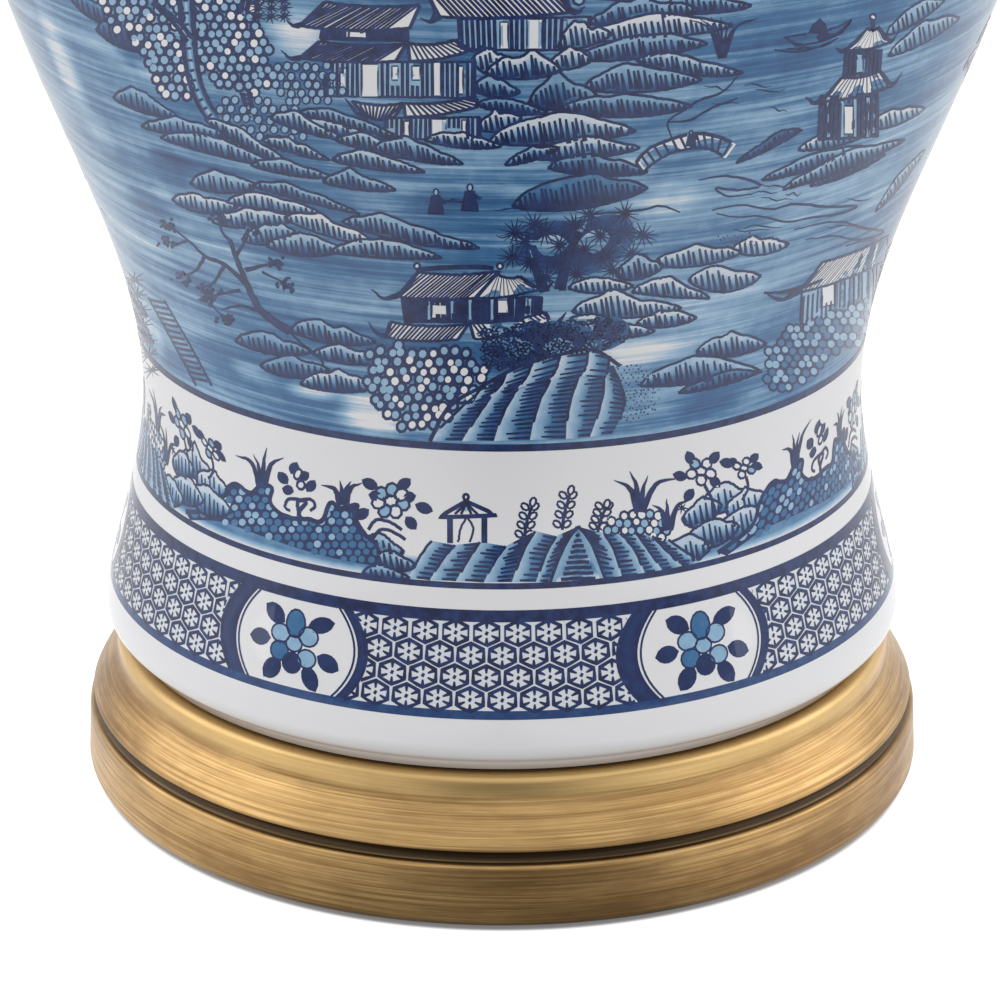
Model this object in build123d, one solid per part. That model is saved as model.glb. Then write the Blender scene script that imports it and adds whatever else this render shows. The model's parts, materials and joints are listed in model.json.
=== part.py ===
"""Ginger jar table lamp: a printed ceramic jar on a turned brass base, with socket, harp and shade.

Millimetres, +Z up. The origin is on the table under the middle of the lamp, and the front faces -Y.
Heights are stacked from the table up, so each piece sits on the one below it. The rod through the
jar clamps base, jar, cap and neck together between the nut in the base and the socket's cap.
"""
import os
from math import cos, hypot, pi, sin, sqrt

from build123d import *

# ---- fits ----------------------------------------------------------------------------------
RUN_FIT = 0.05          # radial play of a piece that turns or slides on another
SLIP = 0.1              # play between pieces that are put together once and stay
AIR = 0.3               # air between pieces that move past each other
ROD_PLAY = 0.25         # radial play of the rod in the pieces it is threaded through

# ---- brass base ----------------------------------------------------------------------------
FELT_INSET = 5.0        # felt that stops short of the band
FELT_T = 1.0
BASE_H = 34.0
BASE_WALL = 1.8
BASE_LIP = 9.0          # width of the flange turned in under the base
BASE_EDGE = 2.6         # rounding of the bottom edge
BAND_H = 15.6           # height of the lower band
BAND_DRAFT = 0.6        # the band leans in by this much
GROOVE_H = 2.4
GROOVE_DEPTH = 1.0
BAND_STEP = 1.5         # the band stands out past the tier
TIER_FLARE = 6.3        # the tier widens by this from its top down to the groove
LEDGE_W = 2.7           # brass that shows round the jar's foot
TIER_SWEEP_H = 9.4      # height of the tier's rounded stretch
TOP_EDGE = 1.7          # rounding of the tier's top edge

WEIGHT_GAP = 5.4        # room round the weight inside the tier
WEIGHT_T = 14.0
CORD_R = 3.6            # bore for the flex in the bushing
CORD_INLET_H = 8.5      # height of the inlet above the base's rim
BUSHING_WALL = 1.6
BUSHING_FLANGE = 2.6    # how far the flange stands out round the body
BUSHING_T = 2.0         # thickness of the flange outside the base

# ---- rod and its fasteners -----------------------------------------------------------------
ROD_R = 4.9
ROD_BORE_R = 3.3
ROD_TAIL = 2.0          # rod that shows below the nut
NUT_FLATS = 16.0
NUT_T = 5.0
WASHER_R = 15.0
WASHER_T = 1.6
LOCKNUT_FLATS = 14.3
LOCKNUT_T = 4.0

# ---- ceramic jar, heights above its foot ---------------------------------------------------
GASKET_T = 0.8
GASKET_INSET = 1.0      # the gasket lies this far inside the foot's outer edge
JAR_H = 350.0
JAR_WALL = 6.0
JAR_FOOT_R = 90.5
JAR_FOOT_W = 10.0       # unglazed ring that it stands on
JAR_RECESS = 4.0        # hollow under the floor, inside the foot ring
JAR_FLOOR = 8.0
JAR_HOLE_R = 6.0
HEEL_BULGE, HEEL_H = 5.0, 7.0
WAIST_R, WAIST_H = 85.2, 62.0
BELLY_R, BELLY_H = 130.0, 268.0
NECK_R, NECK_H = 47.0, 17.0
NECK_SWEEP = 6.0        # rounding from the shoulder into the neck
LIP_PROUD = 4.0         # rolled lip beyond the neck
LIP_H = 7.0
HEEL_EASE = 9.2         # lengths of the curves' handles: how far each stays close to upright
WAIST_EASE_BELOW = 21.9
WAIST_EASE_ABOVE = 55.6
BELLY_EASE_BELOW = 116.7
BELLY_EASE_ABOVE = 34.0
SHOULDER_EASE = 46.0

# ---- brass cap and neck --------------------------------------------------------------------
CAP_GASKET_T = 1.2
CAP_WALL = 1.2
CAP_SKIRT = 8.0         # how far the cap's skirt reaches down over the lip
CAP_PLAY = 0.6
CAP_RISE = 13.0
CAP_BOSS_R = 15.0
NECK_SPOOL_H = 26.0
NECK_SPOOL_R = 12.0
NECK_SPOOL_WAIST_R = 7.6
CHECK_RING_R = 17.0
CHECK_RING_T = 2.4

# ---- harp and its saddle -------------------------------------------------------------------
SADDLE_T = 1.6
SADDLE_W = 14.0
EAR_X = 25.0            # where saddle ear and harp end meet, from the middle
EAR_W = 6.0
EAR_SHOULDER_W = 9.5
EAR_SHOULDER_H = 4.5
EAR_H = 16.5
HARP_H = 228.0          # saddle to the underside of the eye
HARP_HALF = 54.0        # middle to the wire at its widest
HARP_WIRE_R = 1.9
HARP_EYE_R = 8.0
HARP_EYE_T = 2.4
HARP_LEG_BEND = 9.5     # wire above the ferrule's travel, taken up by the leg's bend
HARP_WIDE_FROM = 68.0   # heights above the saddle between which the bow is widest
HARP_WIDE_TO = 172.0
HARP_TOP_HALF = 30.0    # half the bow's flat top, before its corners are rounded
FERRULE_WALL = 1.2
FERRULE_H = 12.0
FERRULE_RIM = 0.8
FERRULE_TRAVEL = 12.5   # lifts clear of the ear
STUD_R = 3.1
STUD_FLANGE_R = 9.0
STUD_FLANGE_T = 2.0
STUD_HEAD_R = 5.2
STUD_HEAD_T = 1.6
STUD_POST = 14.0

# ---- socket and switch, heights above the saddle -------------------------------------------
SOCKET_HUB_R = 9.0
SOCKET_HUB_H = 8.0
SOCKET_CAP_R = 18.2
SOCKET_CAP_H = 22.0
SOCKET_WALL = 0.8
SOCKET_LAP = 5.0        # shell pushed up inside the cap's rim
SOCKET_TOP = 63.0
SOCKET_FLARE = 1.4
SOCKET_BEAD = 2.4
LINER_T = 0.8
INSULATOR_R = 13.0
INSULATOR_FROM = 20.0
INSULATOR_TO = 40.0
SCREW_SHELL_R = 14.1
SCREW_SHELL_T = 0.6
SCREW_SHELL_H = 23.0
SHELL_FLOOR_HOLE_R = 7.0
CONTACT_R = 2.5
CONTACT_LEAF = 12.0
CONTACT_LEAF_W = 5.0
CONTACT_LEAF_T = 0.5
CONTACT_H = 4.0
TERMINAL_R = 3.2
TERMINAL_H = 1.6
TERMINAL_SHANK_R = 1.6
TERMINAL_SHANK = 5.0
TERMINAL_FLAT = 2.0     # depth of the flats that the terminals sit on
TERMINAL_Z = 30.0
SWITCH_Z = 34.0
STEM_R = 2.0
STEM_IN = 8.0           # distance of the stem's inner end from the socket's axis
STEM_OUT = 34.0
KEY_COLLAR_R = 4.0
KEY_FROM = 21.0
KEY_COLLAR = 7.0
KEY_L = 13.0            # blade of the key, beyond its collar
KEY_W = 15.0
KEY_T = 4.4
SET_SCREW_R = 1.5
SET_SCREW_Z = 4.0

# ---- bulb ----------------------------------------------------------------------------------
BULB_TIP_R = 4.5
BULB_TIP_H = 1.2
BULB_SEAT_R = 9.5       # black glass ring round the tip
BULB_SEAT_H = 3.0
THREAD_R = 13.1
THREAD_DEPTH = 0.9
THREAD_PITCH = 3.63
THREAD_TURNS = 6
BULB_CAP_WALL = 0.6
BULB_R = 30.0
BULB_GLASS_H = 82.0
BULB_GLASS_T = 0.9
BULB_WIDE_AT = 52.0     # height of the widest place above the metal cap

# ---- shade ---------------------------------------------------------------------------------
SHADE_TOP_R = 165.0
SHADE_BOTTOM_R = 203.0
SHADE_H = 262.0
SHADE_DROP = 17.0       # the fitter's washer hangs this far below the top edge
CLOTH_T = 0.5
BACKING_T = 0.9
RING_WIRE_R = 1.6
RING_INSET = 0.7        # wire ring below the cloth's edge
SPIDER_WIRE_R = 1.5
SPIDER_ARMS = 3
HUB_R = 12.0
HUB_T = 2.0
TRIM_T = 0.5
TRIM_W = 10.0

FINIAL_H = 38.0
FINIAL_R = 9.5
FINIAL_FOOT_R = 7.0
FINIAL_WAIST_R = 4.6

# ---- radii worked out from the jar's foot and neck -----------------------------------------
HEEL_R = JAR_FOOT_R + HEEL_BULGE
TIER_TOP_R = JAR_FOOT_R + LEDGE_W
TIER_R = TIER_TOP_R + TIER_FLARE
BASE_R = TIER_R + BAND_STEP
FELT_R = BASE_R - FELT_INSET
WEIGHT_R = TIER_TOP_R - BASE_WALL - WEIGHT_GAP
LIP_R = NECK_R + LIP_PROUD

# ---- heights stacked from the table --------------------------------------------------------
BASE_Z = FELT_T
BASE_TOP_Z = BASE_Z + BASE_H
WEIGHT_TOP_Z = BASE_TOP_Z - BASE_WALL
WEIGHT_Z = WEIGHT_TOP_Z - WEIGHT_T
WASHER_Z = WEIGHT_Z - WASHER_T
NUT_Z = WASHER_Z - NUT_T
ROD_Z = NUT_Z - ROD_TAIL
JAR_Z = BASE_TOP_Z + GASKET_T
MOUTH_Z = JAR_Z + JAR_H
CAP_SEAT_Z = MOUTH_Z + CAP_GASKET_T
CAP_TOP_Z = CAP_SEAT_Z + CAP_RISE
SPOOL_Z = CAP_TOP_Z + CHECK_RING_T
SPOOL_TOP_Z = SPOOL_Z + NECK_SPOOL_H
SADDLE_Z = SPOOL_TOP_Z + LOCKNUT_T
SOCKET_Z = SADDLE_Z + SADDLE_T
ROD_TOP_Z = SOCKET_Z + SOCKET_HUB_H
SHOULDER_Z = SOCKET_Z + EAR_SHOULDER_H
EYE_Z = SOCKET_Z + HARP_H
STUD_FLANGE_Z = EYE_Z + HARP_EYE_T
HUB_Z = STUD_FLANGE_Z + STUD_FLANGE_T
FINIAL_Z = HUB_Z + HUB_T
SHADE_TOP_Z = HUB_Z + SHADE_DROP
SHADE_Z = SHADE_TOP_Z - SHADE_H
BULB_Z = SOCKET_Z + INSULATOR_TO + CONTACT_H
ROD_HOLE_R = ROD_R + ROD_PLAY
STACK_T = CLOTH_T + BACKING_T + 2 * SLIP       # shade wall, from the cloth's face to the wire ring

UP = (Align.CENTER, Align.CENTER, Align.MIN)


def turned(*edges):
    """Solid of revolution about Z of a closed outline given as (radius, height) edges."""
    return revolve(Plane.XZ * make_face(edges), Axis.Z)


def disc(radius, height, z, hole=0.0):
    """Flat round piece standing at z, with a round hole if one is given."""
    solid = Pos(0, 0, z) * Cylinder(radius, height, align=UP)
    if hole:
        solid -= Pos(0, 0, z) * Cylinder(hole, height, align=UP)
    return solid


def peg(radius, start, end):
    """Round bar between two points."""
    along = Vector(*end) - Vector(*start)
    return Plane(origin=start, z_dir=along) * Cylinder(radius, along.length, align=UP)


def hex_nut(flats, height, z):
    """Hexagon nut on the rod, with its corners turned off."""
    corner = flats / sqrt(3)
    blank = Pos(0, 0, z) * extrude(RegularPolygon(corner, 6), height)
    chamfer_h = height / 6
    turned_r = corner - chamfer_h
    rounding = turned(Polyline((0, z), (turned_r, z), (corner, z + chamfer_h),
                               (corner, z + height - chamfer_h), (turned_r, z + height),
                               (0, z + height), (0, z)))
    return (blank & rounding) - disc(ROD_R + SLIP, height, z)


# ---- base ----------------------------------------------------------------------------------
def cord_hole(radius):
    """Drill through the base's rear wall on the inlet's axis."""
    height = BASE_Z + CORD_INLET_H
    return peg(radius, (0, WEIGHT_R, height), (0, BASE_R + BASE_EDGE, height))


def base_solid():
    """Outside of the base, without its hollow: a band, a groove and a tier that sweeps in."""
    band_top = BASE_Z + BAND_H
    groove_top = band_top + GROOVE_H
    sweep_top = groove_top + TIER_SWEEP_H
    groove_r = TIER_R - GROOVE_DEPTH
    band_r = BASE_R - BAND_DRAFT
    sweep_r = TIER_TOP_R + BASE_EDGE / 3
    edge = BASE_EDGE / 2
    return turned(
        Line((0, BASE_Z), (BASE_R - BASE_EDGE, BASE_Z)),
        Bezier((BASE_R - BASE_EDGE, BASE_Z), (BASE_R - edge, BASE_Z), (BASE_R, BASE_Z + edge),
               (BASE_R, BASE_Z + BASE_EDGE)),
        Line((BASE_R, BASE_Z + BASE_EDGE), (band_r, band_top - edge)),
        Bezier((band_r, band_top - edge), (band_r, band_top - edge / 3),
               (groove_r + edge, band_top), (groove_r, band_top)),
        Line((groove_r, band_top), (groove_r, groove_top)),
        Line((groove_r, groove_top), (TIER_R, groove_top + GROOVE_DEPTH / 2)),
        Bezier((TIER_R, groove_top + GROOVE_DEPTH / 2), (TIER_R - edge, groove_top + TIER_SWEEP_H * 0.4),
               (sweep_r + edge, sweep_top - TIER_SWEEP_H * 0.2), (sweep_r, sweep_top)),
        Bezier((sweep_r, sweep_top), (sweep_r - edge / 3, sweep_top + edge / 2),
               (TIER_TOP_R, sweep_top + edge), (TIER_TOP_R, BASE_TOP_Z - TOP_EDGE)),
        Bezier((TIER_TOP_R, BASE_TOP_Z - TOP_EDGE), (TIER_TOP_R, BASE_TOP_Z - TOP_EDGE / 2),
               (TIER_TOP_R - TOP_EDGE / 2, BASE_TOP_Z), (TIER_TOP_R - TOP_EDGE, BASE_TOP_Z)),
        Line((TIER_TOP_R - TOP_EDGE, BASE_TOP_Z), (0, BASE_TOP_Z)),
        Line((0, BASE_TOP_Z), (0, BASE_Z)),
    )


def base_wall():
    """Brass base with its hollow and its flange turned in, before any hole is drilled."""
    lip_r = BASE_R - BASE_LIP
    low_r = BASE_R - BAND_DRAFT - BASE_WALL
    top_r = TIER_TOP_R - BASE_WALL
    hollow = turned(Polyline(
        (0, BASE_Z), (lip_r, BASE_Z), (lip_r, BASE_Z + BASE_WALL),
        (low_r - BASE_EDGE, BASE_Z + BASE_WALL), (low_r, BASE_Z + BASE_WALL + BASE_EDGE),
        (low_r, BASE_Z + BAND_H - GROOVE_H), (top_r, BASE_Z + BAND_H + GROOVE_H + TIER_SWEEP_H),
        (top_r, WEIGHT_TOP_Z), (0, WEIGHT_TOP_Z), (0, BASE_Z)))
    return base_solid() - hollow


def base_shell():
    """The base with the rod's hole in its top and the inlet's hole in its rear."""
    shell = base_wall() - disc(ROD_HOLE_R, BASE_WALL, WEIGHT_TOP_Z)
    return shell - cord_hole(CORD_R + BUSHING_WALL + SLIP)


def base_weight():
    """Cast iron disc that keeps the lamp upright, with a chamfered rim."""
    chamfer_w = WEIGHT_T / 6
    return turned(Polyline(
        (ROD_HOLE_R, WEIGHT_Z), (WEIGHT_R - chamfer_w, WEIGHT_Z), (WEIGHT_R, WEIGHT_Z + chamfer_w),
        (WEIGHT_R, WEIGHT_TOP_Z), (ROD_HOLE_R, WEIGHT_TOP_Z), (ROD_HOLE_R, WEIGHT_Z)))


def cord_bushing():
    """Rubber bushing in the rear wall: a flange outside, a lip inside and the flex's bore."""
    height = BASE_Z + CORD_INLET_H
    body_r = CORD_R + BUSHING_WALL
    outer_y = BASE_R + BUSHING_T
    inner_y = BASE_R - BASE_WALL - BUSHING_T - BASE_EDGE
    flange = peg(body_r + BUSHING_FLANGE, (0, BASE_R - BASE_EDGE, height), (0, outer_y, height))
    body = peg(body_r, (0, inner_y, height), (0, outer_y, height))
    lip = peg(body_r + BUSHING_WALL / 2, (0, inner_y, height), (0, BASE_R - BASE_EDGE, height))
    bore = peg(CORD_R, (0, inner_y, height), (0, outer_y, height))
    return (flange + lip - base_wall()) + body - bore


# ---- jar -----------------------------------------------------------------------------------
def jar_wall(inset):
    """Edges of the jar's side from the heel to the neck, moved in by the wall for the inside."""
    heel, waist, belly = HEEL_R - inset, WAIST_R - inset, BELLY_R - inset
    shoulder = NECK_R + NECK_SWEEP - inset
    heel_z, waist_z, belly_z = JAR_Z + HEEL_H, JAR_Z + WAIST_H, JAR_Z + BELLY_H
    shoulder_z = MOUTH_Z - NECK_H - inset * NECK_SWEEP / NECK_R
    return [
        Bezier((heel, heel_z), (heel, heel_z + HEEL_EASE), (waist, waist_z - WAIST_EASE_BELOW),
               (waist, waist_z)),
        Bezier((waist, waist_z), (waist, waist_z + WAIST_EASE_ABOVE),
               (belly, belly_z - BELLY_EASE_BELOW), (belly, belly_z)),
        Bezier((belly, belly_z), (belly, belly_z + BELLY_EASE_ABOVE),
               (shoulder + SHOULDER_EASE, shoulder_z), (shoulder, shoulder_z)),
    ]


def jar_body():
    """Glazed ceramic jar: foot ring, holed floor, waisted side, round shoulder and rolled lip."""
    foot_in = JAR_FOOT_R - JAR_FOOT_W
    heel_z = JAR_Z + HEEL_H
    shoulder_r, shoulder_z = NECK_R + NECK_SWEEP, MOUTH_Z - NECK_H
    outside = turned(
        Line((0, JAR_Z), (JAR_FOOT_R, JAR_Z)),
        Bezier((JAR_FOOT_R, JAR_Z), (JAR_FOOT_R + HEEL_H / 5, heel_z - HEEL_H * 0.4),
               (HEEL_R, heel_z - HEEL_H * 0.6), (HEEL_R, heel_z)),
        *jar_wall(0),
        Bezier((shoulder_r, shoulder_z), (NECK_R + NECK_SWEEP / 3, shoulder_z),
               (NECK_R, shoulder_z + NECK_SWEEP / 3), (NECK_R, shoulder_z + NECK_SWEEP)),
        Line((NECK_R, shoulder_z + NECK_SWEEP), (NECK_R, MOUTH_Z - LIP_H)),
        Bezier((NECK_R, MOUTH_Z - LIP_H), (LIP_R, MOUTH_Z - LIP_H), (LIP_R + LIP_H / 7, MOUTH_Z),
               (LIP_R - LIP_H / 4, MOUTH_Z)),
        Line((LIP_R - LIP_H / 4, MOUTH_Z), (0, MOUTH_Z)),
        Line((0, MOUTH_Z), (0, JAR_Z)),
    )
    side = jar_wall(JAR_WALL)
    floor_z = JAR_Z + JAR_RECESS + JAR_FLOOR
    heel_in = side[0].position_at(0)
    neck_in = side[2].position_at(1)
    hollow = turned(
        Line((0, floor_z), (foot_in, floor_z)),
        Bezier((foot_in, floor_z), (heel_in.X, floor_z), (heel_in.X, floor_z + JAR_WALL),
               side[0].position_at(0.2)),
        side[0].trim(0.2, 1), *side[1:],
        Line((neck_in.X, neck_in.Y), (NECK_R - JAR_WALL, neck_in.Y + NECK_SWEEP)),
        Line((NECK_R - JAR_WALL, neck_in.Y + NECK_SWEEP), (NECK_R - JAR_WALL, MOUTH_Z)),
        Line((NECK_R - JAR_WALL, MOUTH_Z), (0, MOUTH_Z)),
        Line((0, MOUTH_Z), (0, floor_z)),
    )
    recess = turned(Polyline((0, JAR_Z), (foot_in, JAR_Z), (foot_in - JAR_RECESS, JAR_Z + JAR_RECESS),
                             (0, JAR_Z + JAR_RECESS), (0, JAR_Z)))
    return outside - hollow - recess - disc(JAR_HOLE_R, JAR_FLOOR, JAR_Z + JAR_RECESS)


# ---- cap and neck --------------------------------------------------------------------------
def vase_cap():
    """Spun brass cap over the jar's mouth, with a skirt round the lip and an ogee up to its boss."""
    skirt_in = LIP_R + CAP_PLAY
    skirt_r = skirt_in + CAP_WALL
    seat_in = NECK_R - JAR_WALL
    skirt_z = CAP_SEAT_Z - CAP_SKIRT
    top_in = CAP_TOP_Z - CAP_WALL
    outer = [
        Line((skirt_in, skirt_z), (skirt_r, skirt_z)),
        Line((skirt_r, skirt_z), (skirt_r, CAP_SEAT_Z - CAP_WALL)),
        Bezier((skirt_r, CAP_SEAT_Z - CAP_WALL), (skirt_r, CAP_SEAT_Z + CAP_WALL / 2),
               (skirt_r - CAP_WALL, CAP_SEAT_Z + CAP_WALL), (skirt_in - CAP_WALL, CAP_SEAT_Z + CAP_WALL)),
        Line((skirt_in - CAP_WALL, CAP_SEAT_Z + CAP_WALL), (seat_in, CAP_SEAT_Z + CAP_WALL)),
        Bezier((seat_in, CAP_SEAT_Z + CAP_WALL), (seat_in - CAP_RISE, CAP_SEAT_Z + CAP_WALL),
               (CAP_BOSS_R + CAP_RISE / 2, CAP_TOP_Z), (CAP_BOSS_R, CAP_TOP_Z)),
        Line((CAP_BOSS_R, CAP_TOP_Z), (ROD_HOLE_R, CAP_TOP_Z)),
        Line((ROD_HOLE_R, CAP_TOP_Z), (ROD_HOLE_R, top_in)),
    ]
    inner = [
        Line((ROD_HOLE_R, top_in), (CAP_BOSS_R - CAP_WALL, top_in)),
        Bezier((CAP_BOSS_R - CAP_WALL, top_in), (CAP_BOSS_R + CAP_RISE / 2 - CAP_WALL, top_in),
               (seat_in - CAP_RISE - CAP_WALL, CAP_SEAT_Z), (seat_in - CAP_WALL, CAP_SEAT_Z)),
        Line((seat_in - CAP_WALL, CAP_SEAT_Z), (skirt_in, CAP_SEAT_Z)),
        Line((skirt_in, CAP_SEAT_Z), (skirt_in, skirt_z)),
    ]
    return turned(*outer, *inner)


def check_ring():
    """Brass ring with a rounded edge between the cap and the neck."""
    half = CHECK_RING_T / 2
    edge_r = CHECK_RING_R - half
    return turned(
        Line((ROD_HOLE_R, CAP_TOP_Z), (edge_r, CAP_TOP_Z)),
        ThreePointArc((edge_r, CAP_TOP_Z), (CHECK_RING_R, CAP_TOP_Z + half), (edge_r, SPOOL_Z)),
        Line((edge_r, SPOOL_Z), (ROD_HOLE_R, SPOOL_Z)),
        Line((ROD_HOLE_R, SPOOL_Z), (ROD_HOLE_R, CAP_TOP_Z)),
    )


def neck_spool():
    """Turned brass neck, waisted between two beads."""
    bead = NECK_SPOOL_H / 8
    low, high = SPOOL_Z + 2 * bead, SPOOL_TOP_Z - 2 * bead
    edge_r = NECK_SPOOL_R - bead
    return turned(
        Line((ROD_HOLE_R, SPOOL_Z), (edge_r, SPOOL_Z)),
        ThreePointArc((edge_r, SPOOL_Z), (NECK_SPOOL_R, SPOOL_Z + bead), (edge_r, low)),
        ThreePointArc((edge_r, low), (NECK_SPOOL_WAIST_R, (low + high) / 2), (edge_r, high)),
        ThreePointArc((edge_r, high), (NECK_SPOOL_R, high + bead), (edge_r, SPOOL_TOP_Z)),
        Line((edge_r, SPOOL_TOP_Z), (ROD_HOLE_R, SPOOL_TOP_Z)),
        Line((ROD_HOLE_R, SPOOL_TOP_Z), (ROD_HOLE_R, SPOOL_Z)),
    )


def threaded_rod():
    """Hollow rod from the nut in the base up into the socket's cap."""
    return disc(ROD_R, ROD_TOP_Z - ROD_Z, ROD_Z, ROD_BORE_R)


# ---- harp ----------------------------------------------------------------------------------
def plate(x_from, x_to, width, z_from, z_to):
    """Flat block across the front-to-back middle."""
    return Pos((x_from + x_to) / 2, 0, z_from) * Box(x_to - x_from, width, z_to - z_from, align=UP)


def harp_saddle():
    """Steel strip clamped under the socket, with an upright ear at each end for the harp."""
    strip = plate(-EAR_X, EAR_X, EAR_SHOULDER_W, SADDLE_Z, SOCKET_Z)
    strip += disc(SADDLE_W / 2, SADDLE_T, SADDLE_Z)
    for side in (-1, 1):
        near, far = sorted((side * (EAR_X - SADDLE_T), side * EAR_X))
        strip += plate(near, far, EAR_SHOULDER_W, SOCKET_Z, SHOULDER_Z)
        strip += plate(near, far, EAR_W, SHOULDER_Z, SOCKET_Z + EAR_H)
    return strip - disc(ROD_HOLE_R, SADDLE_T, SADDLE_Z)


def harp_bow():
    """Bent wire bow with a flattened end outside each ear and a flat eye on top."""
    wire_z = SOCKET_Z + EAR_H + AIR
    leg_z = wire_z + FERRULE_TRAVEL + HARP_LEG_BEND
    eye_mid = EYE_Z + HARP_EYE_T / 2
    right = [(EAR_X, wire_z), (EAR_X, leg_z), (HARP_HALF, SOCKET_Z + HARP_WIDE_FROM),
             (HARP_HALF, SOCKET_Z + HARP_WIDE_TO), (HARP_TOP_HALF, eye_mid)]
    left = [(-x, z) for x, z in reversed(right)]
    bends = [30, 60, 60, 20]
    path = Plane.XZ * FilletPolyline(*right, *left, radius=bends + bends[::-1])
    start = Plane(origin=path @ 0, z_dir=path % 0)
    bow = sweep(start * Circle(HARP_WIRE_R), path=path)
    for side in (-1, 1):
        near, far = sorted((side * EAR_X, side * (EAR_X + SADDLE_T)))
        bow += plate(near, far, EAR_W, SHOULDER_Z, wire_z + HARP_WIRE_R)
    bow += disc(HARP_EYE_R, HARP_EYE_T, EYE_Z)
    bow -= disc(STUD_FLANGE_R + AIR, HARP_WIRE_R, STUD_FLANGE_Z)
    bow -= disc(STUD_HEAD_R + AIR, HARP_WIRE_R, EYE_Z - HARP_WIRE_R)
    return bow - disc(STUD_R + RUN_FIT, HARP_EYE_T, EYE_Z)


def harp_ferrule(side):
    """Brass sleeve that locks ear and harp end together, standing on the ear's shoulders."""
    bore = hypot(SADDLE_T, EAR_W / 2) + SLIP
    outer = bore + FERRULE_WALL
    rim_h = FERRULE_H / 5
    profile = Polyline(
        (bore, SHOULDER_Z), (outer + FERRULE_RIM, SHOULDER_Z), (outer + FERRULE_RIM, SHOULDER_Z + rim_h),
        (outer, SHOULDER_Z + rim_h + FERRULE_RIM), (outer, SHOULDER_Z + FERRULE_H),
        (bore, SHOULDER_Z + FERRULE_H), (bore, SHOULDER_Z))
    return Pos(side * EAR_X, 0, 0) * turned(profile)


def harp_stud():
    """Swivel riveted in the harp's eye, with a flange for the shade and a post for the finial."""
    head_z = EYE_Z - AIR
    return turned(Polyline(
        (0, head_z - STUD_HEAD_T), (STUD_HEAD_R - STUD_HEAD_T / 2, head_z - STUD_HEAD_T),
        (STUD_HEAD_R, head_z - STUD_HEAD_T / 2), (STUD_HEAD_R, head_z), (STUD_R, head_z),
        (STUD_R, STUD_FLANGE_Z), (STUD_FLANGE_R, STUD_FLANGE_Z), (STUD_FLANGE_R, HUB_Z),
        (STUD_R, HUB_Z), (STUD_R, HUB_Z + STUD_POST), (0, HUB_Z + STUD_POST),
        (0, head_z - STUD_HEAD_T)))


# ---- socket --------------------------------------------------------------------------------
def key_hole(radius):
    """Drill from the socket's inside out to the front, on the switch's axis."""
    height = SOCKET_Z + SWITCH_Z
    return peg(radius, (0, -STEM_IN, height), (0, -KEY_FROM, height))


def socket_cap():
    """Brass cap screwed on the rod: a hub that widens into the rim round the shell."""
    hub_in = ROD_R + SLIP
    rim_in = SOCKET_CAP_R - SOCKET_WALL
    hub_z, rim_z = SOCKET_Z + SOCKET_HUB_H, SOCKET_Z + SOCKET_CAP_H - SOCKET_LAP
    bend = (SOCKET_CAP_R - SOCKET_HUB_R) / 2
    cap = turned(
        Line((hub_in, SOCKET_Z), (SOCKET_HUB_R, SOCKET_Z)),
        Line((SOCKET_HUB_R, SOCKET_Z), (SOCKET_HUB_R, hub_z - bend)),
        Bezier((SOCKET_HUB_R, hub_z - bend), (SOCKET_HUB_R, hub_z + bend / 2),
               (SOCKET_CAP_R, hub_z), (SOCKET_CAP_R, rim_z)),
        Line((SOCKET_CAP_R, rim_z), (SOCKET_CAP_R, SOCKET_Z + SOCKET_CAP_H)),
        Line((SOCKET_CAP_R, SOCKET_Z + SOCKET_CAP_H), (rim_in, SOCKET_Z + SOCKET_CAP_H)),
        Line((rim_in, SOCKET_Z + SOCKET_CAP_H), (rim_in, rim_z)),
        Bezier((rim_in, rim_z), (rim_in, hub_z + SOCKET_WALL), (SOCKET_HUB_R, hub_z + bend / 2),
               (hub_in, hub_z)),
        Line((hub_in, hub_z), (hub_in, SOCKET_Z)),
    )
    height = SOCKET_Z + SET_SCREW_Z
    return cap - peg(SET_SCREW_R + SLIP, (0, ROD_R, height), (0, SOCKET_CAP_R, height))


def cap_set_screw():
    """Small screw at the back of the cap's hub that keeps the socket from turning on the rod."""
    height = SOCKET_Z + SET_SCREW_Z
    screw = peg(SET_SCREW_R, (0, ROD_R + SLIP, height), (0, SOCKET_HUB_R + SET_SCREW_R, height))
    slot_y = SOCKET_HUB_R + SET_SCREW_R
    slot = Pos(0, slot_y, height) * Box(SET_SCREW_R / 2, SET_SCREW_R, 2 * SET_SCREW_R)
    return screw - slot


def socket_shell():
    """Brass shell pushed into the cap, flared and beaded at its mouth, with the switch's hole."""
    outer = SOCKET_CAP_R - SOCKET_WALL - SLIP
    inner = outer - SOCKET_WALL
    bottom, top = SOCKET_Z + SOCKET_CAP_H - SOCKET_LAP, SOCKET_Z + SOCKET_TOP
    flare_z = top - 3 * SOCKET_BEAD
    mouth = outer + SOCKET_FLARE
    shell = turned(
        Line((inner, bottom), (outer, bottom)),
        Line((outer, bottom), (outer, flare_z)),
        Bezier((outer, flare_z), (outer, flare_z + SOCKET_BEAD / 2),
               (mouth, flare_z + SOCKET_BEAD / 2), (mouth, flare_z + SOCKET_BEAD)),
        Line((mouth, flare_z + SOCKET_BEAD), (mouth, top)),
        Line((mouth, top), (mouth - SOCKET_WALL, top)),
        Line((mouth - SOCKET_WALL, top), (mouth - SOCKET_WALL, flare_z + SOCKET_BEAD)),
        Bezier((mouth - SOCKET_WALL, flare_z + SOCKET_BEAD),
               (mouth - SOCKET_WALL, flare_z + SOCKET_BEAD / 2), (inner, flare_z + SOCKET_BEAD / 2),
               (inner, flare_z)),
        Line((inner, flare_z), (inner, bottom)),
    )
    return shell - key_hole(STEM_R + AIR)


def liner_radius():
    """Outer radius of the card tube inside the shell."""
    return SOCKET_CAP_R - 2 * SOCKET_WALL - 2 * SLIP


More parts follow.
